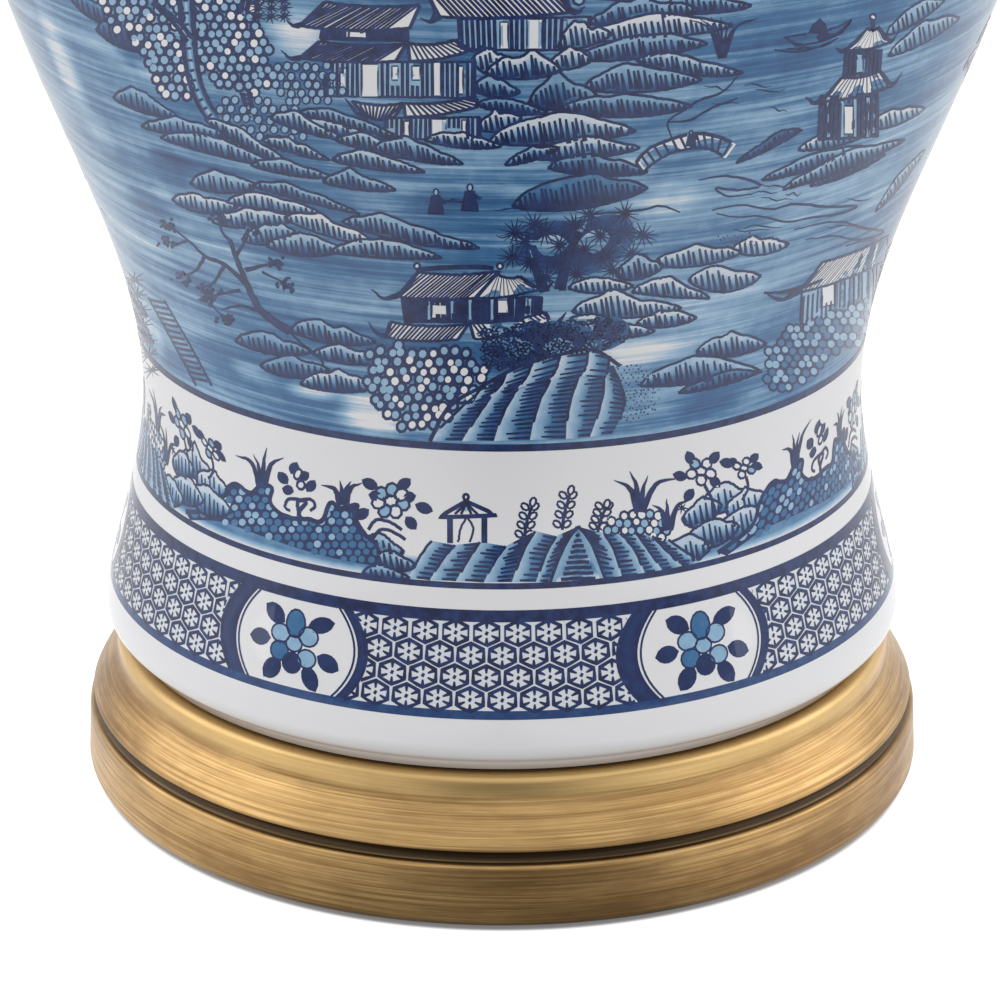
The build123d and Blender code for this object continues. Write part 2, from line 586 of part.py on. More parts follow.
def socket_liner():
    """Insulating card tube between the shell and the live parts."""
    bottom = SOCKET_Z + SOCKET_CAP_H - SOCKET_LAP
    top = SOCKET_Z + SOCKET_TOP - 3 * SOCKET_BEAD
    tube = disc(liner_radius(), top - bottom, bottom, liner_radius() - LINER_T)
    return tube - key_hole(STEM_R + AIR)


def socket_insulator():
    """Moulded body that carries the switch, the terminals and the screw shell."""
    bottom, top = SOCKET_Z + INSULATOR_FROM, SOCKET_Z + INSULATOR_TO
    foot_r = liner_radius() - LINER_T - SLIP
    body = disc(INSULATOR_R, top - bottom, bottom)
    body += disc(foot_r, TERMINAL_H, bottom)
    height = SOCKET_Z + TERMINAL_Z
    flat_x = INSULATOR_R - TERMINAL_FLAT
    for side in (-1, 1):
        near, far = sorted((side * flat_x, side * (INSULATOR_R + SLIP)))
        body -= plate(near, far, 2 * INSULATOR_R, height - TERMINAL_R - SLIP, height + TERMINAL_R + SLIP)
        body -= peg(TERMINAL_SHANK_R + SLIP, (side * (flat_x - TERMINAL_SHANK), 0, height),
                    (side * INSULATOR_R, 0, height))
    return body - key_hole(STEM_R + RUN_FIT)


def terminal_screws():
    """Pair of binding screws, one on each flat of the moulded body."""
    height = SOCKET_Z + TERMINAL_Z
    flat_x = INSULATOR_R - TERMINAL_FLAT
    screws = []
    for side in (-1, 1):
        head = peg(TERMINAL_R, (side * flat_x, 0, height), (side * (flat_x + TERMINAL_H), 0, height))
        shank = peg(TERMINAL_SHANK_R, (side * (flat_x - TERMINAL_SHANK), 0, height),
                    (side * flat_x, 0, height))
        slot_x = side * (flat_x + TERMINAL_H)
        slot = Pos(slot_x, 0, height) * Box(TERMINAL_H, TERMINAL_H / 2, 3 * TERMINAL_R)
        screws.append(head + shank - slot)
    return Compound(children=[screw.solid() for screw in screws])


def screw_shell():
    """Threaded metal cup that takes the bulb, open round the centre contact."""
    floor_z = SOCKET_Z + INSULATOR_TO
    cup = disc(SCREW_SHELL_R, SCREW_SHELL_H, floor_z)
    cup -= disc(SCREW_SHELL_R - SCREW_SHELL_T, SCREW_SHELL_H, floor_z + SCREW_SHELL_T)
    return cup - disc(SHELL_FLOOR_HOLE_R, SCREW_SHELL_T, floor_z)


def centre_contact():
    """Brass leaf with a raised button that meets the bulb's tip."""
    floor_z = SOCKET_Z + INSULATOR_TO
    leaf = plate(-CONTACT_LEAF / 2, CONTACT_LEAF / 2, CONTACT_LEAF_W, floor_z, floor_z + CONTACT_LEAF_T)
    return leaf + disc(CONTACT_R, CONTACT_H, floor_z)


def switch_stem():
    """Steel stem that turns in the moulded body."""
    height = SOCKET_Z + SWITCH_Z
    return peg(STEM_R, (0, -STEM_IN, height), (0, -STEM_OUT, height))


def switch_key():
    """Moulded turn key: a round collar and a flat blade to grip, rounded all over."""
    height = SOCKET_Z + SWITCH_Z
    blade_y = -KEY_FROM - KEY_COLLAR
    collar = peg(KEY_COLLAR_R, (0, -KEY_FROM, height), (0, blade_y, height))
    blade = Box(KEY_W, KEY_L, KEY_T)
    blade = fillet(blade.edges().filter_by(Axis.Z), KEY_L / 3)
    blade = fillet(blade.edges(), KEY_T / 5)
    key = collar + Pos(0, blade_y - KEY_L / 2 + KEY_T / 2, height) * blade
    return key - peg(STEM_R + SLIP, (0, -KEY_FROM, height), (0, -STEM_OUT, height))


# ---- bulb ----------------------------------------------------------------------------------
def bulb_cap_z():
    """Height where the bulb's metal cap starts, above the tip and the black glass."""
    return BULB_Z + BULB_TIP_H + BULB_SEAT_H


def bulb_glass_z():
    """Height where the glass leaves the metal cap."""
    return bulb_cap_z() + (THREAD_TURNS + 0.5) * THREAD_PITCH


def bulb_tip():
    """Metal contact at the foot of the bulb."""
    low_r = CONTACT_R
    return turned(Polyline((0, BULB_Z), (low_r, BULB_Z), (BULB_TIP_R, BULB_Z + BULB_TIP_H),
                           (0, BULB_Z + BULB_TIP_H), (0, BULB_Z)))


def bulb_seat():
    """Black glass cone between the tip and the threaded cap."""
    low, high = BULB_Z + BULB_TIP_H, bulb_cap_z()
    top_r = THREAD_R - THREAD_DEPTH
    return turned(Polyline((0, low), (BULB_TIP_R, low), (BULB_SEAT_R, high - BULB_SEAT_H / 2),
                           (top_r, high), (0, high), (0, low)))


def bulb_cap():
    """Threaded metal cap of the bulb, its thread as even ridges."""
    low, high = bulb_cap_z(), bulb_glass_z()
    root = THREAD_R - THREAD_DEPTH
    ridges = [(root, low)]
    for turn in range(THREAD_TURNS):
        ridge_z = low + (turn + 0.5) * THREAD_PITCH
        ridges += [(THREAD_R, ridge_z), (root, ridge_z + THREAD_PITCH / 2)]
    ridges += [(root, high)]
    inside = root - BULB_CAP_WALL
    return turned(Polyline(*ridges, (inside, high), (inside, low), (root, low)))


def bulb_glass():
    """Frosted pear-shaped envelope, closed at the top and open into the cap."""
    low = bulb_glass_z()
    neck = THREAD_R - THREAD_DEPTH
    wide_z, top = low + BULB_WIDE_AT, low + BULB_GLASS_H

    def envelope(inset):
        crown = top - inset
        reach = (crown - wide_z) * 0.55
        wide = BULB_R - inset
        return [
            Bezier((neck - inset, low), (neck - inset, low + BULB_WIDE_AT * 0.45),
                   (wide, wide_z - BULB_WIDE_AT * 0.45), (wide, wide_z)),
            Bezier((wide, wide_z), (wide, wide_z + reach), (wide * 0.55, crown), (0, crown)),
        ]

    outer, inner = envelope(0), envelope(BULB_GLASS_T)
    return turned(*outer, Line((0, top), (0, top - BULB_GLASS_T)), *inner,
                  Line((neck - BULB_GLASS_T, low), (neck, low)))


# ---- shade ---------------------------------------------------------------------------------
def shade_radius(height, inset):
    """Radius of the shade's cone at a height, moved in square to its wall."""
    slope = (SHADE_BOTTOM_R - SHADE_TOP_R) / SHADE_H
    return SHADE_TOP_R + (SHADE_TOP_Z - height) * slope - inset * sqrt(1 + slope**2)


def cone_layer(inset, thickness):
    """One layer of the shade's wall, from edge to edge."""
    corners = [(shade_radius(z, depth), z) for z, depth in (
        (SHADE_Z, inset), (SHADE_TOP_Z, inset), (SHADE_TOP_Z, inset + thickness),
        (SHADE_Z, inset + thickness))]
    return turned(Polyline(*corners, corners[0]))


def ring_centre(edge_z, inward):
    """Radius and height of a wire ring's centre, just inside the wall at one edge."""
    height = edge_z + inward * (RING_INSET + RING_WIRE_R)
    return shade_radius(height, STACK_T + RING_WIRE_R), height


def wire_ring(edge_z, inward):
    """Round wire that stiffens one edge of the shade."""
    radius, height = ring_centre(edge_z, inward)
    return Pos(0, 0, height) * Torus(radius, RING_WIRE_R)


def spider_arms(extra):
    """Arms from the top ring down to the washer, thicker by extra for the trim's slits."""
    radius, height = ring_centre(SHADE_TOP_Z, -1)
    arms = Part()
    for arm in range(SPIDER_ARMS):
        angle = pi / 2 + arm * 2 * pi / SPIDER_ARMS
        inner = (HUB_R - HUB_T, HUB_Z + HUB_T / 2)
        start, end = [(r * cos(angle), r * sin(angle), z) for r, z in (inner, (radius, height))]
        arms += peg(SPIDER_WIRE_R + extra, start, end)
    return arms


def shade_fitter():
    """Top ring with its spider: arms welded to the ring and to the washer on the harp."""
    fitter = wire_ring(SHADE_TOP_Z, -1) + spider_arms(0)
    fitter -= disc(HUB_R, HUB_T, HUB_Z)
    fitter -= disc(HUB_R - HUB_T, 2 * HUB_T, HUB_Z - HUB_T)
    return fitter + disc(HUB_R, HUB_T, HUB_Z, STUD_R + SLIP)


def edge_trim(edge_z, inward):
    """Tape folded over one edge of the shade, round the wire ring inside."""
    depth = STACK_T + 2 * RING_WIRE_R + SLIP
    over = SLIP + TRIM_T
    inner_w = RING_INSET + 2 * RING_WIRE_R + TRIM_T
    route = [(-over, TRIM_W), (-over, -over), (depth + TRIM_T, -over), (depth + TRIM_T, inner_w),
             (depth, inner_w), (depth, -SLIP), (-SLIP, -SLIP), (-SLIP, TRIM_W)]
    corners = []
    for inset, along in route:
        height = edge_z + inward * along
        corners.append((shade_radius(height, inset), height))
    return turned(Polyline(*corners, corners[0]))


# ---- finial --------------------------------------------------------------------------------
def finial():
    """Turned brass finial with a waist, a ball and a small tip, tapped for the harp's post."""
    waist_z = FINIAL_Z + FINIAL_H * 0.3
    ball_z = FINIAL_Z + FINIAL_H * 0.6
    neck_z = FINIAL_Z + FINIAL_H * 0.84
    top = FINIAL_Z + FINIAL_H
    foot_h = FINIAL_H * 0.1
    tip_r = FINIAL_R / 3
    body = turned(
        Line((0, FINIAL_Z), (FINIAL_FOOT_R, FINIAL_Z)),
        Line((FINIAL_FOOT_R, FINIAL_Z), (FINIAL_FOOT_R, FINIAL_Z + foot_h)),
        Bezier((FINIAL_FOOT_R, FINIAL_Z + foot_h), (FINIAL_WAIST_R, FINIAL_Z + foot_h),
               (FINIAL_WAIST_R, waist_z - foot_h), (FINIAL_WAIST_R, waist_z)),
        Bezier((FINIAL_WAIST_R, waist_z), (FINIAL_R, waist_z), (FINIAL_R, ball_z - foot_h),
               (FINIAL_R, ball_z)),
        Bezier((FINIAL_R, ball_z), (FINIAL_R, ball_z + 1.5 * foot_h), (tip_r, neck_z - foot_h / 2),
               (tip_r, neck_z)),
        Bezier((tip_r, neck_z), (2 * tip_r, neck_z + foot_h / 2), (tip_r, top), (0, top)),
        Line((0, top), (0, FINIAL_Z)),
    )
    bore_h = HUB_Z + STUD_POST + AIR - FINIAL_Z
    return body - disc(STUD_R + RUN_FIT, bore_h, FINIAL_Z)


PARTS = {
    "base_felt": disc(FELT_R, FELT_T, 0),
    "base_shell": base_shell(),
    "base_weight": base_weight(),
    "cord_bushing": cord_bushing(),
    "base_washer": disc(WASHER_R, WASHER_T, WASHER_Z, ROD_HOLE_R),
    "base_nut": hex_nut(NUT_FLATS, NUT_T, NUT_Z),
    "threaded_rod": threaded_rod(),
    "foot_gasket": disc(JAR_FOOT_R - GASKET_INSET, GASKET_T, BASE_TOP_Z, JAR_FOOT_R - JAR_FOOT_W),
    "jar_body": jar_body(),
    "cap_gasket": disc(LIP_R - LIP_H / 4, CAP_GASKET_T, MOUTH_Z, NECK_R - JAR_WALL),
    "vase_cap": vase_cap(),
    "check_ring": check_ring(),
    "neck_spool": neck_spool(),
    "neck_locknut": hex_nut(LOCKNUT_FLATS, LOCKNUT_T, SPOOL_TOP_Z),
    "harp_saddle": harp_saddle(),
    "harp_bow": harp_bow(),
    "harp_ferrule_left": harp_ferrule(-1),
    "harp_ferrule_right": harp_ferrule(1),
    "harp_stud": harp_stud(),
    "socket_cap": socket_cap(),
    "cap_set_screw": cap_set_screw(),
    "socket_shell": socket_shell(),
    "socket_liner": socket_liner(),
    "socket_insulator": socket_insulator(),
    "terminal_screws": terminal_screws(),
    "screw_shell": screw_shell(),
    "centre_contact": centre_contact(),
    "switch_stem": switch_stem(),
    "switch_key": switch_key(),
    "bulb_tip": bulb_tip(),
    "bulb_seat": bulb_seat(),
    "bulb_cap": bulb_cap(),
    "bulb_glass": bulb_glass(),
    "shade_cloth": cone_layer(0, CLOTH_T),
    "shade_backing": cone_layer(CLOTH_T + SLIP, BACKING_T),
    "shade_fitter": shade_fitter(),
    "shade_bottom_ring": wire_ring(SHADE_Z, 1),
    "shade_top_trim": edge_trim(SHADE_TOP_Z, -1) - spider_arms(SLIP),
    "shade_bottom_trim": edge_trim(SHADE_Z, 1),
    "finial": finial(),
}

os.makedirs("parts", exist_ok=True)
for node, shape in PARTS.items():
    export_step(shape, f"parts/{node}.step")
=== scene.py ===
"""Looks of the ginger jar table lamp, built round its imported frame. Metres, +Z up, front to -Y."""
import json
import math
import random

import bpy
import numpy as np
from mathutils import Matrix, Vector, geometry, noise

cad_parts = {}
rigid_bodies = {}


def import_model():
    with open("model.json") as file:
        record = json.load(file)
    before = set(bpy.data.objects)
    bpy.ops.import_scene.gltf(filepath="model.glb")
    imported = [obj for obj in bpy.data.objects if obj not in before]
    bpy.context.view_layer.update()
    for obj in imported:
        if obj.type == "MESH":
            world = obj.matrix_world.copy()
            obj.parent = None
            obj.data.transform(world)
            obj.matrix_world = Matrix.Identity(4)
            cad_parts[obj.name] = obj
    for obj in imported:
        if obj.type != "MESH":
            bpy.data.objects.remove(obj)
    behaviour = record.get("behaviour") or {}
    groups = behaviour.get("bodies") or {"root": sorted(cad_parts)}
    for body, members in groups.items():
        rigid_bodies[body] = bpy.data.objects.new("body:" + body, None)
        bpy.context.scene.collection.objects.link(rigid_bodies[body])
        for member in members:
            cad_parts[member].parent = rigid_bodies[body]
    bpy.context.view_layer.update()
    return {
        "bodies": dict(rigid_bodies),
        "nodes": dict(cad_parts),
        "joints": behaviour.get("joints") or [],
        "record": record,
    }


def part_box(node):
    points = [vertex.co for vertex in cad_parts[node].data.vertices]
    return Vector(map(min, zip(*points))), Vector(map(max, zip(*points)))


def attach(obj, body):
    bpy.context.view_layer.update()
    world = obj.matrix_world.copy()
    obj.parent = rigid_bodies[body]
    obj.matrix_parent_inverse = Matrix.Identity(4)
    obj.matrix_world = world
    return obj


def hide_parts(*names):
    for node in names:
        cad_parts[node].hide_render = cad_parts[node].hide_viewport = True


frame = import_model()
nodes = frame["nodes"]
bpy.ops.object.select_all(action="DESELECT")

# ---- Viewpoint -----------------------------------------------------------------------------
# The photograph is taken from under a metre, a little above the jar's foot, with a long lens,
# and shows only the base and the lower half of the jar.
EYE = Vector((-0.0005, -0.932, 0.4399))
EYE_PITCH = math.radians(68.04)
PICTURE = 1000                      # width and height of the picture, in its points
PICTURE_REACH = 4172                # distance of the picture plane, in the same points
SENSOR = 36
bpy.ops.object.camera_add(location=EYE, rotation=(EYE_PITCH, 0, 0))
camera = bpy.context.object
camera.data.sensor_width = SENSOR
camera.data.lens = SENSOR * PICTURE_REACH / PICTURE
camera.data.clip_start, camera.data.clip_end = 0.05, 50
bpy.context.scene.camera = camera
bpy.context.scene.view_settings.view_transform = "Standard"


# ---- Felt pad ------------------------------------------------------------------------------
# A disc of black pressed felt, punched out and glued under the base so that the brass doesn't
# scratch the table. Its edge shows as a thin dark line, a little fuzzy where it was cut.
class Field:
    """A node's output. Sums of fields and numbers add the Math nodes that work them out."""

    def __init__(self, socket):
        self.socket = socket

    def node(self, kind, settings=None, inputs=None, out=0):
        """Adds a node to this field's material: its settings first, then its sockets."""
        tree = self.socket.id_data
        made = tree.nodes.new(kind)
        settings = dict(settings or {})
        stops = settings.pop("stops", None)
        for name, value in settings.items():
            setattr(made, name, value)
        if stops:
            ramp = made.color_ramp
            while len(ramp.elements) < len(stops):
                ramp.elements.new(0.5)
            for element, (place, colour) in zip(ramp.elements, stops):
                element.position, element.color = place, colour
        for name, value in (inputs or {}).items():
            if isinstance(value, Field):
                tree.links.new(value.socket, made.inputs[name])
            else:
                made.inputs[name].default_value = value
        return Field(made.outputs[out])

    def math(self, operation, *values):
        settings = {"operation": operation}
        return self.node("ShaderNodeMath", settings, dict(enumerate(values)))

    def axis(self, number):
        """One measure of this place: 0 to the right, 1 to the back and 2 up."""
        return self.node("ShaderNodeSeparateXYZ", {}, {"Vector": self}, number)

    def root(self):
        return self.math("SQRT", self)

    def __add__(self, other):
        return self.math("ADD", self, other)

    def __sub__(self, other):
        return self.math("SUBTRACT", self, other)

    def __rsub__(self, other):
        return self.math("SUBTRACT", other, self)

    def __mul__(self, other):
        return self.math("MULTIPLY", self, other)

    __radd__, __rmul__ = __add__, __mul__

    def between(self, low, high):
        """0 below low and 1 above high, with a soft step in the middle."""
        settings = {"interpolation_type": "SMOOTHSTEP"}
        return self.node("ShaderNodeMapRange", settings, {0: self, 1: low, 2: high})

    def stretched(self, x, y, z):
        """The same place with its axes scaled, so that a pattern runs long or short."""
        return self.node("ShaderNodeMapping", {}, {"Vector": self, "Scale": (x, y, z)})

    def cloud(self, scale, detail=4.0, roughness=0.55):
        """Soft noise at this place, about 0.5 on the average."""
        return self.node("ShaderNodeTexNoise", {},
                         {"Vector": self, "Scale": scale, "Detail": detail,
                          "Roughness": roughness})

    def blend(self, first, second):
        """First colour where this field is 0 and second where it is 1."""
        return self.node("ShaderNodeMix", {"data_type": "RGBA"},
                         {0: self, 6: first, 7: second}, 2)

    def colours(self, *stops):
        """A run of colours along this field's values."""
        return self.node("ShaderNodeValToRGB", {"stops": stops}, {"Fac": self})


def rgb(red, green, blue):
    """A colour as the eye names it, 0 to 255, as a shader wants it."""
    def linear(level):
        level /= 255
        return level / 12.92 if level <= 0.04045 else ((level + 0.055) / 1.055) ** 2.4
    return linear(red), linear(green), linear(blue), 1.0


def finish(name, colour, constants, roughness=None, bump=None):
    """A material. Its colour and roughness are functions of the place on the piece, or fixed."""
    made = bpy.data.materials.new(name)
    made.use_nodes = True
    tree = made.node_tree
    shader = tree.nodes["Principled BSDF"]
    place = Field(tree.nodes.new("ShaderNodeTexCoord").outputs["Object"])
    for socket, value in constants.items():
        shader.inputs[socket].default_value = value
    for socket, look in (("Base Color", colour), ("Roughness", roughness)):
        if callable(look):
            tree.links.new(look(place).socket, shader.inputs[socket])
        elif look is not None:
            shader.inputs[socket].default_value = look
    if bump:
        height, depth = bump
        relief = place.node("ShaderNodeBump", {},
                            {"Height": height(place), "Distance": depth, "Strength": 1.0})
        tree.links.new(relief.socket, shader.inputs["Normal"])
    return made


def wear(piece, material):
    """Gives a piece its one material."""
    piece.data.materials.clear()
    piece.data.materials.append(material)


def piece_of(name, mesh):
    """A new piece made of a mesh, picked out for the commands that come next."""
    piece = bpy.data.objects.new(name, mesh)
    bpy.context.collection.objects.link(piece)
    bpy.ops.object.select_all(action="DESELECT")
    piece.select_set(True)
    bpy.context.view_layer.objects.active = piece
    return piece


def turned(name, outline, around):
    """A closed piece turned round the lamp's middle from (radius, height) points in metres."""
    ring = bpy.data.meshes.new(name)
    count = len(outline)
    ring.from_pydata([(r, 0, z) for r, z in outline], [(i, (i + 1) % count) for i in range(count)],
                     [])
    piece = piece_of(name, ring)
    bpy.ops.object.modifier_add(type="SCREW")
    screw = piece.modifiers[-1]
    screw.steps = screw.render_steps = around
    screw.use_merge_vertices = True
    screw.use_smooth_shade = True
    bpy.ops.object.modifier_apply(modifier=screw.name)
    bpy.ops.object.mode_set(mode="EDIT")
    bpy.ops.mesh.select_all(action="SELECT")
    bpy.ops.mesh.remove_doubles(threshold=1e-6)
    bpy.ops.mesh.normals_make_consistent(inside=False)
    bpy.ops.object.mode_set(mode="OBJECT")
    return piece


felt_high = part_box("base_felt")[1]
FELT_R, FELT_T = felt_high.x, felt_high.z
pad = turned("felt_pad", [(0.0005, 0), (FELT_R - 0.0004, 0), (FELT_R, FELT_T * 0.3),
                          (FELT_R, FELT_T * 0.8), (FELT_R - 0.0003, FELT_T),
                          (0.0005, FELT_T)], 180)
wear(pad, finish(
    "felt", lambda at: at.cloud(900, 3).blend(rgb(24, 24, 26), rgb(50, 49, 50)),
    {"Sheen Weight": 0.4, "Sheen Roughness": 0.5}, lambda at: at.cloud(300) * 0.1 + 0.88,
    (lambda at: at.cloud(1600, 3), 0.0002)))
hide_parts("base_felt")
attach(pad, "stand")


# ---- Brass base ----------------------------------------------------------------------------
# One spinning of sheet brass, turned to a band, a groove and a swept tier, browned with acid,
# rubbed back so that the high places shine, brushed round and lacquered. A painted highlight
# lightens the tier's top edge, and painted shade darkens the band's lowest edge.
def curve(start, leave, arrive, end, steps):
    """Points along one bend of a turned outline, without its end."""
    points = geometry.interpolate_bezier(
        *[Vector((r, z, 0)) for r, z in (start, leave, arrive, end)], steps + 1)
    return [(p.x, p.y) for p in points[:-1]]


def millimetres(outline):
    """Metres, from an outline in millimetres."""
    return [(r / 1000, z / 1000) for r, z in outline]


BAND_R, BAND_LEAN, TIER_R, TIER_TOP_R = 101.0, 0.6, 99.5, 93.2
base_low, base_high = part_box("base_shell")
BASE_Z, BASE_TOP = base_low.z * 1000, base_high.z * 1000
band_top, groove_top = BASE_Z + 15.6, BASE_Z + 18.0
sweep_top, sweep_r = groove_top + 9.4, TIER_TOP_R + 0.87
WALL = 1.8
base_outline = (
    [(92.0, BASE_Z)] + [(95.2, BASE_Z)]
    + curve((98.4, BASE_Z), (99.7, BASE_Z), (BAND_R, BASE_Z + 1.3), (BAND_R, BASE_Z + 2.6), 6)
    + [(BAND_R, BASE_Z + 2.6), (BAND_R - 0.2, BASE_Z + 6.6), (BAND_R - 0.4, BASE_Z + 10.6)]
    + curve((BAND_R - BAND_LEAN, band_top - 1.3), (BAND_R - BAND_LEAN, band_top - 0.43),
            (99.8, band_top), (98.6, band_top), 6)
    + [(98.5, band_top + 0.1), (98.5, band_top + 1.2), (98.5, groove_top - 0.1)]
    + [(98.7, groove_top + 0.05), (TIER_R - 0.3, groove_top + 0.35)]
    + curve((TIER_R, groove_top + 0.6), (TIER_R - 1.3, groove_top + 3.76),
            (sweep_r + 1.3, sweep_top - 1.88), (sweep_r, sweep_top), 18)
    + curve((sweep_r, sweep_top), (sweep_r - 0.43, sweep_top + 1.3),
            (TIER_TOP_R, sweep_top + 1.3), (TIER_TOP_R, BASE_TOP - 1.7), 6)
    + curve((TIER_TOP_R, BASE_TOP - 1.7), (TIER_TOP_R, BASE_TOP - 0.85),
            (TIER_TOP_R - 0.85, BASE_TOP), (TIER_TOP_R - 1.7, BASE_TOP), 6)
    + [(TIER_TOP_R - 1.7, BASE_TOP), (88, BASE_TOP), (60, BASE_TOP), (30, BASE_TOP),
       (5.15, BASE_TOP), (5.15, BASE_TOP - WALL), (50, BASE_TOP - WALL),
       (TIER_TOP_R - WALL, BASE_TOP - WALL), (TIER_TOP_R - WALL, BASE_Z + 27.4),
       (98.6, BASE_Z + 13.2), (98.6, BASE_Z + 4.4), (96.0, BASE_Z + WALL), (92.0, BASE_Z + WALL)])
base = turned("brass_base", millimetres(base_outline), 384)


def brushed(at):
    """Fine lines left all the way round by the brush on the lathe."""
    x, y, z = [at.axis(number) for number in range(3)]
    out = (x * x + y * y).root()
    ring = at.node("ShaderNodeCombineXYZ", {}, {0: x * 20 + out * 1500, 1: y * 20, 2: z * 1500})
    return ring.cloud(1, 4, 0.7)


def browned(at):
    """Where the acid's brown stayed: in clouds drawn out along the brush."""
    broad = at.stretched(9, 9, 60).cloud(1, 5, 0.65)
    spots = at.stretched(60, 60, 140).cloud(1, 4, 0.6)
    return (broad * 0.75 + spots * 0.25).between(0.4, 0.66)


def in_height_band(at, low, high, soft):
    """1 between two heights on the base, with a soft step at each."""
    height = at.axis(2)
    return height.between(low - soft, low + soft) * (1 - height.between(high - soft, high + soft))


def base_colour(at):
    lines = brushed(at).between(0.3, 0.72)
    rubbed = lines.blend(rgb(160, 122, 72), rgb(228, 190, 128))
    toned = (browned(at) * 0.75).blend(rubbed, rgb(124, 90, 52))
    # Painted highlight: the tier's top edge is lightened towards pale gold, as if it caught the
    # light.
    painted_top_highlight = in_height_band(at, (BASE_TOP - 4.4) / 1000, (BASE_TOP + 2.0) / 1000, 0.0016)
    toned = (painted_top_highlight * 0.6).blend(toned, rgb(240, 204, 138))
    # The groove keeps the acid's dark brown, which can't be rubbed off there.
    groove = in_height_band(at, (band_top - 0.1) / 1000, (groove_top + 0.4) / 1000, 0.0004)
    # Painted shade: the base's bottom edge, up to about 2 mm above the table, is darkened towards
    # dark brown.
    foot = in_height_band(at, 0, 0.0022, 0.0008)
    return (groove * 0.92 + foot * 0.5).blend(toned, rgb(40, 29, 21))


antique_brass = finish(
    "antique_brass", base_colour,
    {"Metallic": 1.0, "Anisotropic": 0.0, "Coat Weight": 0.3, "Coat Roughness": 0.25},
    lambda at: browned(at) * 0.1 + brushed(at) * 0.2 + 0.28,
    (lambda at: brushed(at) * 0.7 + at.stretched(60, 60, 200).cloud(1, 3) * 0.6, 0.00006))
wear(base, antique_brass)
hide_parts("base_shell")
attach(base, "stand")

# ---- Inside the base -----------------------------------------------------------------------
# A cast iron disc keeps the lamp upright. A washer and a nut draw it, the base, the jar and the
# cap together on a hollow rod of zinc plated steel.
wear(nodes["base_weight"], finish(
    "cast_iron", lambda at: at.cloud(160, 6).blend(rgb(38, 37, 36), rgb(74, 70, 66)),
    {"Metallic": 0.6}, lambda at: at.cloud(240) * 0.25 + 0.55,
    (lambda at: at.cloud(420, 5), 0.0006)))


def plated_steel(name, light, dark):
    return finish(
        name, lambda at: at.stretched(80, 80, 420).cloud(1, 4).blend(light, dark),
        {"Metallic": 1.0}, lambda at: at.cloud(260) * 0.16 + 0.26,
        (lambda at: at.stretched(60, 60, 900).cloud(1, 3), 0.00003))


zinc_steel = plated_steel("zinc_steel", rgb(196, 198, 196), rgb(150, 150, 142))
for name in ("base_washer", "threaded_rod", "cap_set_screw", "switch_stem"):
    wear(nodes[name], zinc_steel)
small_brass = finish(
    "antique_brass_small",
    lambda at: at.cloud(260, 5).blend(rgb(196, 158, 102), rgb(134, 98, 56)),
    {"Metallic": 1.0}, lambda at: at.cloud(300) * 0.2 + 0.3, (lambda at: at.cloud(900), 0.00004))
for name in ("base_nut", "neck_locknut"):
    wear(nodes[name], small_brass)

# ---- Rubber pieces -------------------------------------------------------------------------
# Black rubber: the bushing that lines the flex's inlet at the rear, the ring under the jar's
# foot and the one over its mouth.
black_rubber = finish(
    "black_rubber", lambda at: at.cloud(240, 5).blend(rgb(28, 28, 30), rgb(46, 45, 45)),
    {"Specular IOR Level": 0.35}, lambda at: at.cloud(500) * 0.14 + 0.6,
    (lambda at: at.cloud(1400), 0.00008))
for name in ("cord_bushing", "foot_gasket", "cap_gasket"):
    wear(nodes[name], black_rubber)

# ---- Jar -----------------------------------------------------------------------------------
# Slip-cast white ware, waisted above a rounded heel, glazed all over but on its foot ring. The
# washes of the blue print are in its glaze; its lines and small flat shapes lie on top.
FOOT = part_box("jar_body")[0].z * 1000
jar_outside = [
    ((90.5, 0), (91.9, 4.2), (95.5, 2.8), (95.5, 7), 5),
    ((95.5, 7), (95.5, 16.2), (85.2, 40.1), (85.2, 62), 36),
    ((85.2, 62), (85.2, 117.6), (130, 151.3), (130, 268), 125),
    ((130, 268), (130, 302), (99, 333), (53, 333), 30),
    ((53, 333), (49, 333), (47, 335), (47, 339), 4),
    ((47, 339), (47, 340.3), (47, 341.7), (47, 343), 1),
    ((47, 343), (51, 343), (52, 350), (49.25, 350), 5)]
jar_inside = [
    ((41, 350), (41, 346), (41, 341), (41, 339), 1),
    ((47, 327), (93, 327), (124, 302), (124, 268), 4),
    ((124, 268), (124, 151.3), (79.2, 117.6), (79.2, 62), 4),
    ((79.2, 62), (79.2, 40.1), (88, 14), (80.5, 12), 3),
    ((80.5, 12), (60, 12), (30, 12), (6, 12), 1),
    ((6, 12), (6, 10), (6, 6), (6, 4), 1),
    ((6, 4), (30, 4), (60, 4), (76.5, 4), 1),
    ((76.5, 4), (78, 2.6), (79, 1.4), (80.5, 0), 1)]
wall_points = [p for bend in jar_outside for p in curve(*bend)] + [jar_outside[-1][3]]
jar_points = wall_points + [p for bend in jar_inside for p in curve(*bend)] + [(80.5, 0)]
jar = turned("jar_glaze", millimetres([(r, z + FOOT) for r, z in jar_points]), 440)

# The wall is drawn on in two measures: the turn round the jar, in radians from the front, and
# the way up along the wall from the foot, in millimetres.
fine_wall = np.array([p for *bend, steps in jar_outside for p in curve(*bend, steps * 8)])
fine_up = np.concatenate([[0], np.cumsum(np.hypot(*np.diff(fine_wall, axis=0).T))])
slope = np.gradient(fine_wall, fine_up, axis=0)
ROUND = 2 * math.pi


def wall_radius(up):
    return np.interp(up, fine_up, fine_wall[:, 0])


def beside(turns, middle):
    """How far turns lie from a middle one, the shorter way round."""
    return (turns - middle + math.pi) % ROUND - math.pi


